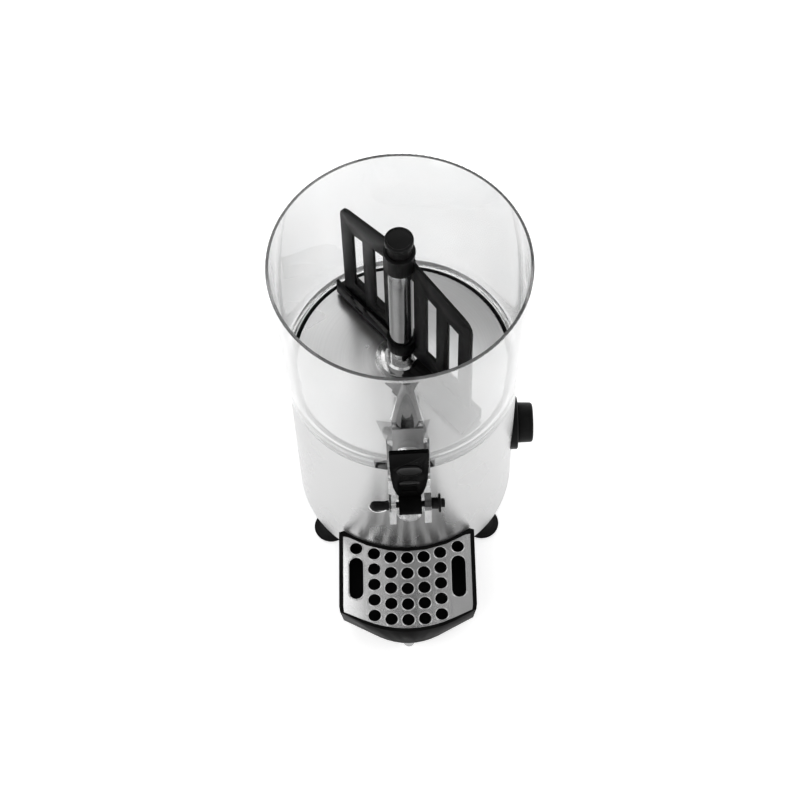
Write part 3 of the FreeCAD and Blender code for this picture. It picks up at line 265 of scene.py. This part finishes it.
# Where the bowl's colour carries painted shade: the fairing, the box below it and the two stop blocks beside
# the tap.
FAIRING_FRONT, FAIRING_LOW, FAIRING_HIGH = -122.5 * MM, 343.5 * MM, 422.5 * MM
BOX_FRONT, BOX_LOW = -118.0 * MM, 286.0 * MM
BLOCK_INNER, BLOCK_OUTER, BLOCK_FRONT = 13.5 * MM, 29.0 * MM, -100.0 * MM
BLOCK_LOW, BLOCK_HIGH = 236.2 * MM, 251.5 * MM


def clear_polycarbonate():
    """Clear bowl plastic with moulding waves and wiping marks, and painted shade: a dark painted line along
    its lip, painted dark refraction over the fairing and the box below it, and dark painted patches where the
    stop blocks show through the wall.
    """
    made = Finish("clear_polycarbonate", Transmission_Weight=0.8, IOR=1.5)
    wave = made.noise(made.place(), 26.0, 1.0, 0.5)
    wipes = made.noise(made.stretched(40.0, 40.0, 700.0), 1.0, 2.0, 0.6)
    x, y, z = made.axes()
    clear = made.mixed(made.ramp(wave, 0.3, 0.7, 0.0, 1.0),
                       grey(1.0), (0.985, 0.992, 0.995, 1.0))
    # Painted shade: above the rim height the clear wall is painted dark grey, a line standing in for the dark
    # refraction at the rim's edge.
    lip = z.above(BOWL_RIM)
    # Painted shade: the fairing gets a dark colour, blotched by noise, that stands in for the dark refraction
    # seen through it.
    fairing = y.below(FAIRING_FRONT) * z.above(FAIRING_LOW) * z.below(FAIRING_HIGH)
    box = y.below(BOX_FRONT) * z.above(BOX_LOW) * z.below(FAIRING_LOW)
    painted_shade_blotches = made.ramp(made.noise(made.stretched(90.0, 90.0, 35.0), 1.0, 2.0, 0.5), 0.3, 0.7, 0.0, 1.0)
    shaded = made.mixed(painted_shade_blotches, grey(0.035), grey(0.24))
    # Painted shade: dark patches on the wall beside the tap, painted where the stop blocks show dark through
    # it.
    beside = abs(x).above(BLOCK_INNER) * abs(x).below(BLOCK_OUTER) * y.below(BLOCK_FRONT)
    painted_block_shade = beside * z.above(BLOCK_LOW) * z.below(BLOCK_HIGH)
    # Painted shade: the box below the fairing is painted mid grey, and the fairing gets the blotched dark
    # grey.
    body = made.mixed(box, made.mixed(fairing, clear, shaded), grey(0.5))
    # Painted shade over the clear colour: dark patches at the stop blocks, and the dark line along the lip on
    # top of everything.
    made.feed("Base Color", made.mixed(lip, made.mixed(painted_block_shade, body, grey(0.04)), grey(0.16)))
    made.feed("Roughness", made.ramp(wipes, 0.35, 0.75, 0.015, 0.045))
    made.bumped(wave, 0.0001)
    return made.material


FINISHES = {
    "brushed_housing": brushed_sheet("brushed_housing_steel", 0.6, 0.24, 7.0, 0.000004,
                                     Anisotropic=0.9, Anisotropic_Rotation=0.25),
    "zinc_sheet": bright_metal("zinc_plate", grey(0.56, -0.02), 0.34),
    "black_rubber": rubber("black_rubber", grey(0.008)),
    "bright_screw": bright_metal("plated_steel", grey(0.72), 0.2),
    "tank_steel": brushed_sheet("drawn_tank_steel", 0.62, 0.28, 9.0, 0.00004),
    "pan_steel": turned_sheet("turned_pan_steel", 0.72, 0.27, 420.0),
    "black_plastic": moulded("black_fitting_plastic", grey(0.005), 0.32, gloss=0.08),
    "dark_plastic": moulded("dark_fitting_plastic", grey(0.045), 0.45),
    "polished_tube": bright_metal("polished_tube_steel", grey(0.62), 0.1, 0.000002),
    "element_steel": bright_metal("annealed_sheath", (0.34, 0.31, 0.28, 1.0), 0.42),
    "brass_nut": bright_metal("machined_brass", (0.75, 0.55, 0.24, 1.0), 0.28),
    "cast_case": bright_metal("die_cast_alloy", grey(0.6), 0.45, 0.00004),
    "core_iron": bright_metal("laminated_iron", grey(0.24), 0.5, 0.00005),
    "winding": bright_metal("enamelled_copper", (0.62, 0.26, 0.1, 1.0), 0.3),
    "bronze_bush": bright_metal("sintered_bronze", (0.55, 0.4, 0.22, 1.0), 0.4),
    "pale_plastic": moulded("pale_terminal_plastic", grey(0.72, 0.02), 0.4),
    "white_gear": moulded("natural_acetal", grey(0.78, 0.03), 0.35),
    "knob_plastic": moulded("knob_plastic", grey(0.005), 0.36, gloss=0.07),
    "mixer_plastic": moulded("mixer_plastic", grey(0.006), 0.34, 700.0, 0.00001, 0.08),
    "lever_gloss": moulded("lever_thumb_gloss", grey(0.003), 0.06, 500.0, 0.000002, 0.045, 0.04),
    "lever_plastic": moulded("lever_plastic", grey(0.0018), 0.26, 500.0, 0.000004, 0.008, 0.06),
    "seal_rubber": rubber("seal_rubber", grey(0.2)),
    "tray_plastic": moulded("tray_plastic", grey(0.0035), 0.34, depth=0.00001, gloss=0.03),
    "grey_foot": moulded("grey_foot_plastic", grey(0.36), 0.45),
    "grille_steel": crowned_sheet("pressed_grille_steel", 0.66, 0.2),
    "clear_plastic": clear_polycarbonate(),
}


def dressed(thing, finish_slot):
    """The thing with one finish and no other on it."""
    thing.data.materials.clear()
    thing.data.materials.append(FINISHES[finish_slot])
    return thing


SLOT_OF = {part["node"]: part["material_slot"] for part in frame["record"]["subparts"]}
for node_name, node_object in frame["nodes"].items():
    dressed(node_object, SLOT_OF[node_name])


# Shape kit

HOME = {node: body for body, group in frame["record"]["behaviour"]["bodies"].items() for node in group}


def placed(name, mesh, finish_slot, body, smooth_below=35):
    """A finished mesh as a piece with its finish on, riding on a body if one is given."""
    mesh.polygons.foreach_set("use_smooth", [True] * len(mesh.polygons))
    mesh.set_sharp_from_angle(angle=math.radians(smooth_below))
    thing = bpy.data.objects.new(name, mesh)
    bpy.context.collection.objects.link(thing)
    dressed(thing, finish_slot)
    if body:
        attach(thing, body)
    return thing


def settled(thing):
    """The object's evaluated mesh as plain data; the object itself goes."""
    bpy.context.view_layer.update()
    seen = thing.evaluated_get(bpy.context.evaluated_depsgraph_get())
    mesh = bpy.data.meshes.new_from_object(seen)
    bpy.data.objects.remove(thing)
    return mesh


def softened(node):
    """The node's own shape with doubles merged, flat faces joined and its edges rounded off.

    The width asked for is more than any edge holds, so the clamp sets the real one, from the shortest edge."""
    shape = bmesh.new()
    shape.from_mesh(frame["nodes"][node].data)
    bmesh.ops.remove_doubles(shape, verts=shape.verts, dist=2e-6)
    bmesh.ops.dissolve_limit(shape, angle_limit=math.radians(1.0), verts=shape.verts, edges=shape.edges)
    mesh = bpy.data.meshes.new(node + "_soft")
    shape.to_mesh(mesh)
    shape.free()
    thing = bpy.data.objects.new(node + "_draft", mesh)
    bpy.context.collection.objects.link(thing)
    edge = thing.modifiers.new("rounded_edges", "BEVEL")
    edge.width = MORE_THAN_FITS
    edge.segments = 2
    edge.limit_method = "ANGLE"
    edge.angle_limit = math.radians(SHARP_EDGE)
    edge.harden_normals = True
    made = placed(node + "_soft", settled(thing), SLOT_OF[node], HOME[node])
    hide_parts(node)
    return made


def spun(outline, steps=96):
    """A closed solid of revolution about X from (x, radius) points; the ends on the axis close it."""
    shape = bmesh.new()
    rings = []
    for x, radius in outline:
        if radius < 1e-6:
            rings.append([shape.verts.new((x * MM, 0, 0))])
            continue
        rings.append([shape.verts.new((x * MM, radius * MM * math.cos(math.tau * i / steps),
                                       radius * MM * math.sin(math.tau * i / steps)))
                      for i in range(steps)])
    for first, second in zip(rings, rings[1:]):
        for i in range(steps):
            j = (i + 1) % steps
            corners = [first[i % len(first)], first[j % len(first)],
                       second[j % len(second)], second[i % len(second)]]
            corners = [c for at, c in enumerate(corners) if c not in corners[:at]]
            if len(corners) > 2:
                shape.faces.new(corners)
    bmesh.ops.recalc_face_normals(shape, faces=shape.faces)
    return shape


def as_mesh(name, shape, place=None):
    mesh = bpy.data.meshes.new(name)
    if place is not None:
        shape.transform(place)
    shape.to_mesh(mesh)
    shape.free()
    return mesh


def wire_mesh(name, points, radius, closed=False, place=None):
    """A round wire along points given in millimetres."""
    line = bpy.data.curves.new(name, "CURVE")
    line.dimensions = "3D"
    line.bevel_depth = radius * MM
    line.bevel_resolution = 3
    line.use_fill_caps = True
    run = line.splines.new("NURBS")
    run.points.add(len(points) - 1)
    for knot, spot in zip(run.points, points):
        knot.co = (spot[0] * MM, spot[1] * MM, spot[2] * MM, 1)
    run.order_u = 3
    run.use_endpoint_u = not closed
    run.use_cyclic_u = closed
    run.resolution_u = 6
    thing = bpy.data.objects.new(name, line)
    bpy.context.collection.objects.link(thing)
    mesh = settled(thing)
    if place is not None:
        mesh.transform(place)
    return mesh


TAP_TURN = Matrix.Rotation(BOWL_TURN, 4, "Z")


class Pattern:
    """A Geometry Nodes tree that repeats a shape. Its named inputs hold the sizes, in metres."""

    def __init__(self, name, **sizes):
        self.name = name
        self.tree = bpy.data.node_groups.new(name, "GeometryNodeTree")
        self.tree.interface.new_socket(name="Geometry", in_out="OUTPUT", socket_type="NodeSocketGeometry")
        self.sizes = sizes
        self.keys = {}
        for word, value in sizes.items():
            kind = "NodeSocketInt" if isinstance(value, int) else "NodeSocketFloat"
            made = self.tree.interface.new_socket(name=word, in_out="INPUT", socket_type=kind)
            self.keys[word] = made.identifier
        self.entry = self.tree.nodes.new("NodeGroupInput")
        self.exit = self.tree.nodes.new("NodeGroupOutput")

    def size(self, word):
        return Signal(self.tree, self.entry.outputs[word])

    def node(self, kind, settings=None, sockets=None, out=0):
        made = self.tree.nodes.new(kind)
        for word, value in (settings or {}).items():
            setattr(made, word, value)
        for word, value in (sockets or {}).items():
            for single in value if isinstance(value, list) else [value]:
                if isinstance(single, Signal):
                    self.tree.links.new(single.socket, made.inputs[word])
                else:
                    made.inputs[word].default_value = single
        return Signal(self.tree, made.outputs[out])

    def vector(self, x, y, z):
        return self.node("ShaderNodeCombineXYZ", None, {"X": x, "Y": y, "Z": z})

    def mesh(self, shape, finish_slot, place=None):
        real = self.node("GeometryNodeRealizeInstances", None, {"Geometry": shape})
        worn = self.node("GeometryNodeSetMaterial", None, {"Geometry": real})
        worn.socket.node.inputs["Material"].default_value = FINISHES[finish_slot]
        self.tree.links.new(worn.socket, self.exit.inputs[0])
        thing = bpy.data.objects.new(self.name, bpy.data.meshes.new(self.name))
        bpy.context.collection.objects.link(thing)
        modifier = thing.modifiers.new(self.name, "NODES")
        modifier.node_group = self.tree
        for word, value in self.sizes.items():
            modifier[self.keys[word]] = value
        mesh = settled(thing)
        if place is not None:
            mesh.transform(place)
        return mesh


# Grille and tray

GRILLE_TOP = 50.1


def grille_lips():
    """Rolled lips round every drain hole and both finger slots."""
    rule = Pattern("grille_lips", pitch=17.48 * MM, lip_radius=7.05 * MM, lip_thick=0.68 * MM,
                   slot_width=15.96 * MM, slot_length=48.2 * MM, columns=5, rows=5)
    pitch = rule.size("pitch")
    field = rule.node("GeometryNodeMeshGrid", None,
                      {"Size X": pitch * 4, "Size Y": pitch * 4,
                       "Vertices X": rule.size("columns"), "Vertices Y": rule.size("rows")})
    spot = rule.node("GeometryNodeInputPosition")
    split = rule.node("ShaderNodeSeparateXYZ", None, {"Vector": spot}).socket.node
    column = abs(Signal(rule.tree, split.outputs["X"])) / pitch
    bow = (column * column * 1.75 - column * 0.75) * MM
    field = rule.node("GeometryNodeSetPosition", None,
                      {"Geometry": field, "Offset": rule.vector(0.0, bow - 161.86 * MM, 0.0)})
    corners = rule.node("GeometryNodeMeshLine", {"mode": "END_POINTS"},
                        {"Count": 2, "Start Location": (-53.8 * MM, -115.0 * MM, 0),
                         "Offset": (53.8 * MM, -115.0 * MM, 0)})
    spots = rule.node("GeometryNodeJoinGeometry", None, {"Geometry": [field, corners]})
    section = rule.node("GeometryNodeCurvePrimitiveCircle", {"mode": "RADIUS"},
                        {"Resolution": 12, "Radius": rule.size("lip_thick")})
    hoop = rule.node("GeometryNodeCurvePrimitiveCircle", {"mode": "RADIUS"},
                     {"Resolution": 40, "Radius": rule.size("lip_radius")})
    lip = rule.node("GeometryNodeCurveToMesh", None, {"Curve": hoop, "Profile Curve": section})
    lips = rule.node("GeometryNodeInstanceOnPoints", None, {"Points": spots, "Instance": lip})
    oblong = rule.node("GeometryNodeCurvePrimitiveQuadrilateral", {"mode": "RECTANGLE"},
                       {"Width": rule.size("slot_width"), "Height": rule.size("slot_length")})
    oblong = rule.node("GeometryNodeFilletCurve", None,
                       {"Curve": oblong, "Radius": rule.size("slot_width") * 0.499})
    fillet = oblong.socket.node
    fillet.mode = "POLY"
    fillet.inputs["Count"].default_value = 9
    oblong = rule.node("GeometryNodeCurveToMesh", None, {"Curve": oblong, "Profile Curve": section})
    ends = rule.node("GeometryNodeMeshLine", {"mode": "END_POINTS"},
                     {"Count": 2, "Start Location": (-53.9 * MM, -149.05 * MM, 0),
                      "Offset": (53.9 * MM, -149.05 * MM, 0)})
    slots = rule.node("GeometryNodeInstanceOnPoints", None, {"Points": ends, "Instance": oblong})
    everything = rule.node("GeometryNodeJoinGeometry", None, {"Geometry": [lips, slots]})
    mesh = rule.mesh(everything, "grille_steel", Matrix.Translation((0, 0, (GRILLE_TOP - 0.36) * MM)))
    placed("grille_lips", mesh, "grille_steel", "grille", 60)


# Knob, bezel and switch

KNOB_HEIGHT = 110.0


def dial_ticks():
    """Moulded marks round the bezel over the knob's three quarter turn."""
    rule = Pattern("dial_ticks", ring=24.4 * MM, long=2.6 * MM, wide=0.7 * MM, marks=10)
    arc = rule.node("GeometryNodeCurveArc", {"mode": "RADIUS"},
                    {"Resolution": rule.size("marks"), "Radius": rule.size("ring"),
                     "Start Angle": math.radians(-45), "Sweep Angle": math.radians(270)})
    spots = rule.node("GeometryNodeCurveToPoints", {"mode": "EVALUATED"}, {"Curve": arc})
    owner = spots.socket.node
    bar = rule.node("GeometryNodeMeshCube", None,
                    {"Size": rule.vector(rule.size("long"), rule.size("wide"), 0.12 * MM)})
    spot = rule.node("GeometryNodeInputPosition")
    turn = rule.node("FunctionNodeAlignEulerToVector", {"axis": "X"}, {"Vector": spot})
    marks = rule.node("GeometryNodeInstanceOnPoints", None,
                      {"Points": Signal(rule.tree, owner.outputs["Points"]), "Instance": bar,
                       "Rotation": turn})
    stand = Matrix.Translation((119.92 * MM, 0, KNOB_HEIGHT * MM)) @ Matrix.Rotation(math.pi / 2, 4, "Y") \
        @ Matrix.Rotation(math.pi / 2, 4, "Z")
    placed("dial_ticks", rule.mesh(marks, "pale_plastic", stand), "pale_plastic", "base")


def thermostat_knob():
    outline = [(120.3, 0), (120.3, 20.6), (120.6, 21.2), (121.2, 21.5), (127.0, 21.35), (133.2, 21.15),
               (134.4, 20.9), (135.3, 20.3), (135.95, 19.3), (136.25, 18.2), (136.0, 17.4), (135.7, 16.6),
               (135.75, 12.0), (135.9, 6.0), (135.95, 0)]
    place = Matrix.Translation((0, 0, KNOB_HEIGHT * MM))
    knob = placed("knob_turned", as_mesh("knob_turned", spun(outline), place), "knob_plastic", "knob", 50)
    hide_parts("thermostat_knob")
    pointer = wire_mesh("knob_pointer", [(135.85, 0, 5), (135.8, 0, 11), (135.8, 0, 16.4)], 0.55, place=place)
    placed("knob_pointer", pointer, "pale_plastic", "knob")


def switch_marks():
    """The plain bar and ring that mark on and off on the rocker."""
    turn = Matrix.Rotation(SWITCH_TURN, 4, "Z")
    stroke = [(118.72, 0, 110.2), (118.95, 0, 111.7), (119.2, 0, 113.2)]
    bar = wire_mesh("switch_bar", stroke, 0.35, place=turn)
    placed("switch_bar", bar, "pale_plastic", "rocker")
    hoop = [(118.85, 1.6 * math.cos(a), 102.3 + 1.6 * math.sin(a))
            for a in (math.tau * i / 12 for i in range(12))]
    ring = wire_mesh("switch_ring", hoop, 0.3, closed=True, place=turn)
    placed("switch_ring", ring, "pale_plastic", "rocker")


# Tap

LEVER_FACE = -149.8
PIN_LINE = (-154.5, 238.5)


def oval_dish(name, height, wide, tall, depth, ring, finish_slot):
    """An oval thumb mark on the lever's face: a rolled ring round a dished or domed middle."""
    shape = bmesh.new()
    steps, rounds = 56, 8
    rows = []
    for level in range(rounds + 1):
        share = level / rounds
        y = LEVER_FACE - 0.25 + depth * (1 - share * share)
        rows.append([shape.verts.new((wide * share * math.cos(math.tau * i / steps) * MM, y * MM,
                                      (height + tall * share * math.sin(math.tau * i / steps)) * MM))
                     for i in range(steps)] if level else [shape.verts.new((0, y * MM, height * MM))])
    for first, second in zip(rows, rows[1:]):
        for i in range(steps):
            j = (i + 1) % steps
            corners = [first[i % len(first)], first[j % len(first)], second[j], second[i]]
            shape.faces.new([c for at, c in enumerate(corners) if c not in corners[:at]])
    rim = rows[-1]
    back = [shape.verts.new((v.co.x, (LEVER_FACE + 0.6) * MM, v.co.z)) for v in rim]
    for i in range(steps):
        j = (i + 1) % steps
        shape.faces.new((rim[i], rim[j], back[j], back[i]))
    bmesh.ops.recalc_face_normals(shape, faces=shape.faces)
    placed(name, as_mesh(name, shape, TAP_TURN), finish_slot, "lever", 60)
    hoop = [(wide * math.cos(a), LEVER_FACE - 0.2, height + tall * math.sin(a))
            for a in (math.tau * i / 40 for i in range(40))]
    placed(name + "_ring", wire_mesh(name + "_ring", hoop, ring, closed=True, place=TAP_TURN),
           finish_slot, "lever", 70)


def pin_clip():
    """Sprung wire clip that keeps the hinge pin in, folded round the pin's handle."""
    y, z = PIN_LINE
    points = [(-23.0, y - 5.3, z + 1.0), (-27.0, y - 5.6, z - 1.4), (-31.5, y - 5.5, z - 2.6),
              (-36.0, y - 4.4, z - 2.2), (-39.0, y - 1.5, z - 1.2), (-39.4, y + 1.2, z - 1.0),
              (-37.0, y + 3.2, z - 3.2), (-31.0, y + 2.0, z - 5.6), (-25.0, y + 1.0, z - 5.6)]
    placed("pin_clip", wire_mesh("pin_clip", points, 0.75, place=TAP_TURN), "bright_screw", "bowl", 70)


def pin_ridges():
    """Grip ridges round the pin knob's flange."""
    rule = Pattern("pin_ridges", ring=8.6 * MM, long=2.0 * MM, thick=0.55 * MM, ridges=20)
    hoop = rule.node("GeometryNodeMeshCircle", None,
                     {"Vertices": rule.size("ridges"), "Radius": rule.size("ring")})
    ridge = rule.node("GeometryNodeMeshCylinder", None,
                      {"Vertices": 10, "Radius": rule.size("thick"), "Depth": rule.size("long")})
    marks = rule.node("GeometryNodeInstanceOnPoints", None, {"Points": hoop, "Instance": ridge})
    stand = TAP_TURN @ Matrix.Translation((28.3 * MM, PIN_LINE[0] * MM, PIN_LINE[1] * MM)) \
        @ Matrix.Rotation(math.pi / 2, 4, "Y")
    placed("pin_ridges", rule.mesh(marks, "black_plastic", stand), "black_plastic", "bowl", 50)


def working_spring():
    """The tap spring in the node's own shape, seated in the cap at its top above the piston."""
    shape = bmesh.new()
    shape.from_mesh(frame["nodes"]["tap_spring"].data)
    bmesh.ops.remove_doubles(shape, verts=shape.verts, dist=2e-6)
    spring = placed("working_spring", as_mesh("working_spring", shape), SLOT_OF["tap_spring"], None, 70)
    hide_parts("tap_spring")
    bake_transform(spring)


# Base and soft edges

def housing_seam():
    """Lap seam of the rolled housing sheet, up the back."""
    shape = bmesh.new()
    low, high, fade, sheet = 19.5, 234.5, 0.6, 115.2
    rows = []
    for z in (low, low + fade, high - fade, high):
        inset = 0.3 if z in (low, high) else 0.0
        section = ((-0.030, sheet), (-0.028, 115.5 - inset * 0.5), (0.030, 115.62 - inset), (0.0315, sheet))
        rows.append([shape.verts.new((radius * MM * math.sin(angle), radius * MM * math.cos(angle), z * MM))
                     for angle, radius in section])
    for first, second in zip(rows, rows[1:]):
        for i in range(3):
            shape.faces.new((first[i], first[i + 1], second[i + 1], second[i]))
        shape.faces.new((first[3], first[0], second[0], second[3]))
    shape.faces.new(rows[0])
    shape.faces.new(rows[-1])
    bmesh.ops.recalc_face_normals(shape, faces=shape.faces)
    placed("housing_seam", as_mesh("housing_seam", shape), "brushed_housing", "base")


def foot_ribs():
    """Suction ribs moulded round the flange of every rubber foot."""
    rule = Pattern("foot_ribs", ring=17.9 * MM, thick=0.55 * MM, reach_x=164.0 * MM, reach_y=132.0 * MM)
    grid = rule.node("GeometryNodeMeshGrid", None,
                     {"Size X": rule.size("reach_x"), "Size Y": rule.size("reach_y"),
                      "Vertices X": 2, "Vertices Y": 2})
    hoop = rule.node("GeometryNodeCurvePrimitiveCircle", {"mode": "RADIUS"},
                     {"Resolution": 48, "Radius": rule.size("ring")})
    section = rule.node("GeometryNodeCurvePrimitiveCircle", {"mode": "RADIUS"},
                        {"Resolution": 10, "Radius": rule.size("thick")})
    bead = rule.node("GeometryNodeCurveToMesh", None, {"Curve": hoop, "Profile Curve": section})
    beads = rule.node("GeometryNodeInstanceOnPoints", None, {"Points": grid, "Instance": bead})
    placed("foot_ribs", rule.mesh(beads, "black_rubber", Matrix.Translation((0, 0, 2.75 * MM))),
           "black_rubber", "base", 60)


SOFT_NODES = (
    "mixer_frame", "scraper_blade_left", "scraper_blade_right", "mixer_cap", "drip_tray", "tray_foot",
    "tap_lever", "knob_bezel", "switch_frame", "switch_rocker", "rubber_feet", "pin_knob", "tap_cap",
    "bowl_stop", "terminal_block", "cable_gland",
)

for soft_node in SOFT_NODES:
    softened(soft_node)
dressed(frame["nodes"]["scraper_rivets"], "mixer_plastic")
working_spring()
grille_lips()
dial_ticks()
thermostat_knob()
switch_marks()
oval_dish("thumb_dish", 301.0, 11.4, 10.6, 1.3, 0.6, "lever_gloss")
oval_dish("lower_boss", 275.5, 9.6, 5.4, -0.8, 0.4, "lever_gloss")
pin_clip()
pin_ridges()
housing_seam()
foot_ribs()


# Studio

def floor_finish():
    """Pale matt floor that glows a little, so that it stays plain under the machine."""
    made = Finish("studio_floor", Roughness=0.9, Emission_Strength=0.52, Emission_Color=grey(1.0))
    speck = made.noise(made.place(), 3.0, 2.0, 0.5)
    made.feed("Base Color", made.mixed(speck, grey(0.9), grey(0.93)))
    return made.material


def studio_floor():
    """A flat floor far wider than any view."""
    shape = bmesh.new()
    bmesh.ops.create_grid(shape, x_segments=4, y_segments=4, size=60.0)
    mesh = bpy.data.meshes.new("studio_floor")
    shape.to_mesh(mesh)
    shape.free()
    mesh.materials.append(floor_finish())
    floor = bpy.data.objects.new("studio_floor", mesh)
    bpy.context.collection.objects.link(floor)


def studio_sky():
    """An even pale room with a dimmer ceiling."""
    world = bpy.data.worlds.new("studio_room")
    world.use_nodes = True
    tree = world.node_tree
    tree.nodes.clear()
    place = tree.nodes.new("ShaderNodeTexCoord")
    split = tree.nodes.new("ShaderNodeSeparateXYZ")
    ramp = tree.nodes.new("ShaderNodeMapRange")
    light = tree.nodes.new("ShaderNodeBackground")
    output = tree.nodes.new("ShaderNodeOutputWorld")
    ramp.inputs["From Min"].default_value = 0.25
    ramp.inputs["From Max"].default_value = 1.0
    ramp.inputs["To Min"].default_value = 0.88
    ramp.inputs["To Max"].default_value = 0.36
    light.inputs["Color"].default_value = (1, 1, 1, 1)
    tree.links.new(place.outputs["Generated"], split.inputs[0])
    tree.links.new(split.outputs["Z"], ramp.inputs["Value"])
    tree.links.new(ramp.outputs[0], light.inputs["Strength"])
    tree.links.new(light.outputs[0], output.inputs["Surface"])
    bpy.context.scene.world = world


def soft_box(name, where, at, size, power):
    """A rectangular lamp at one place, turned to another; power in watts."""
    lamp = bpy.data.lights.new(name, "AREA")
    lamp.shape = "RECTANGLE"
    lamp.size, lamp.size_y = size
    lamp.energy = power
    thing = bpy.data.objects.new(name, lamp)
    thing.location = where
    thing.rotation_euler = (Vector(at) - Vector(where)).to_track_quat("-Z", "Y").to_euler()
    bpy.context.collection.objects.link(thing)


def studio_lamps():
    soft_box("key_panel", (-1.5, -1.1, 1.7), (0, 0, 0.2), (1.6, 1.4), 11)
    soft_box("side_panel", (1.9, -0.2, 1.2), (0, 0, 0.2), (1.2, 1.2), 7)
    soft_box("back_panel", (0.9, 2.2, 1.2), (0, 0, 0.2), (1.6, 1.0), 8)
    soft_box("left_sheen", (-0.7, 1.3, 2.1), (0, -0.15, 0.1), (1.2, 1.1), 8)


def camera():
    """The view of the photograph, aimed at the middle of the machine."""
    elevation = math.radians(60.34)
    azimuth = math.radians(0.28)
    roll = math.radians(-1.56)
    away = Vector((math.sin(azimuth) * math.cos(elevation),
                   -math.cos(azimuth) * math.cos(elevation),
                   math.sin(elevation)))
    right = Vector((math.cos(azimuth), math.sin(azimuth), 0))
    up = away.cross(right)
    across = math.cos(roll) * right + math.sin(roll) * up
    upward = -math.sin(roll) * right + math.cos(roll) * up
    aim_height, distance = 0.2362, 1.9043
    place = Vector((0, 0, aim_height)) + away * distance
    seen = bpy.data.cameras.new("photo_view")
    seen.lens = 85.32
    seen.sensor_width = 36.0
    seen.shift_x = -0.0031
    seen.shift_y = -0.0422
    thing = bpy.data.objects.new("photo_view", seen)
    turn = Matrix((across, upward, away)).transposed().to_4x4()
    thing.matrix_world = Matrix.Translation(place) @ turn
    bpy.context.collection.objects.link(thing)
    bpy.context.scene.camera = thing


studio_floor()
studio_sky()
studio_lamps()
camera()
bpy.context.scene.view_settings.view_transform = "Standard"
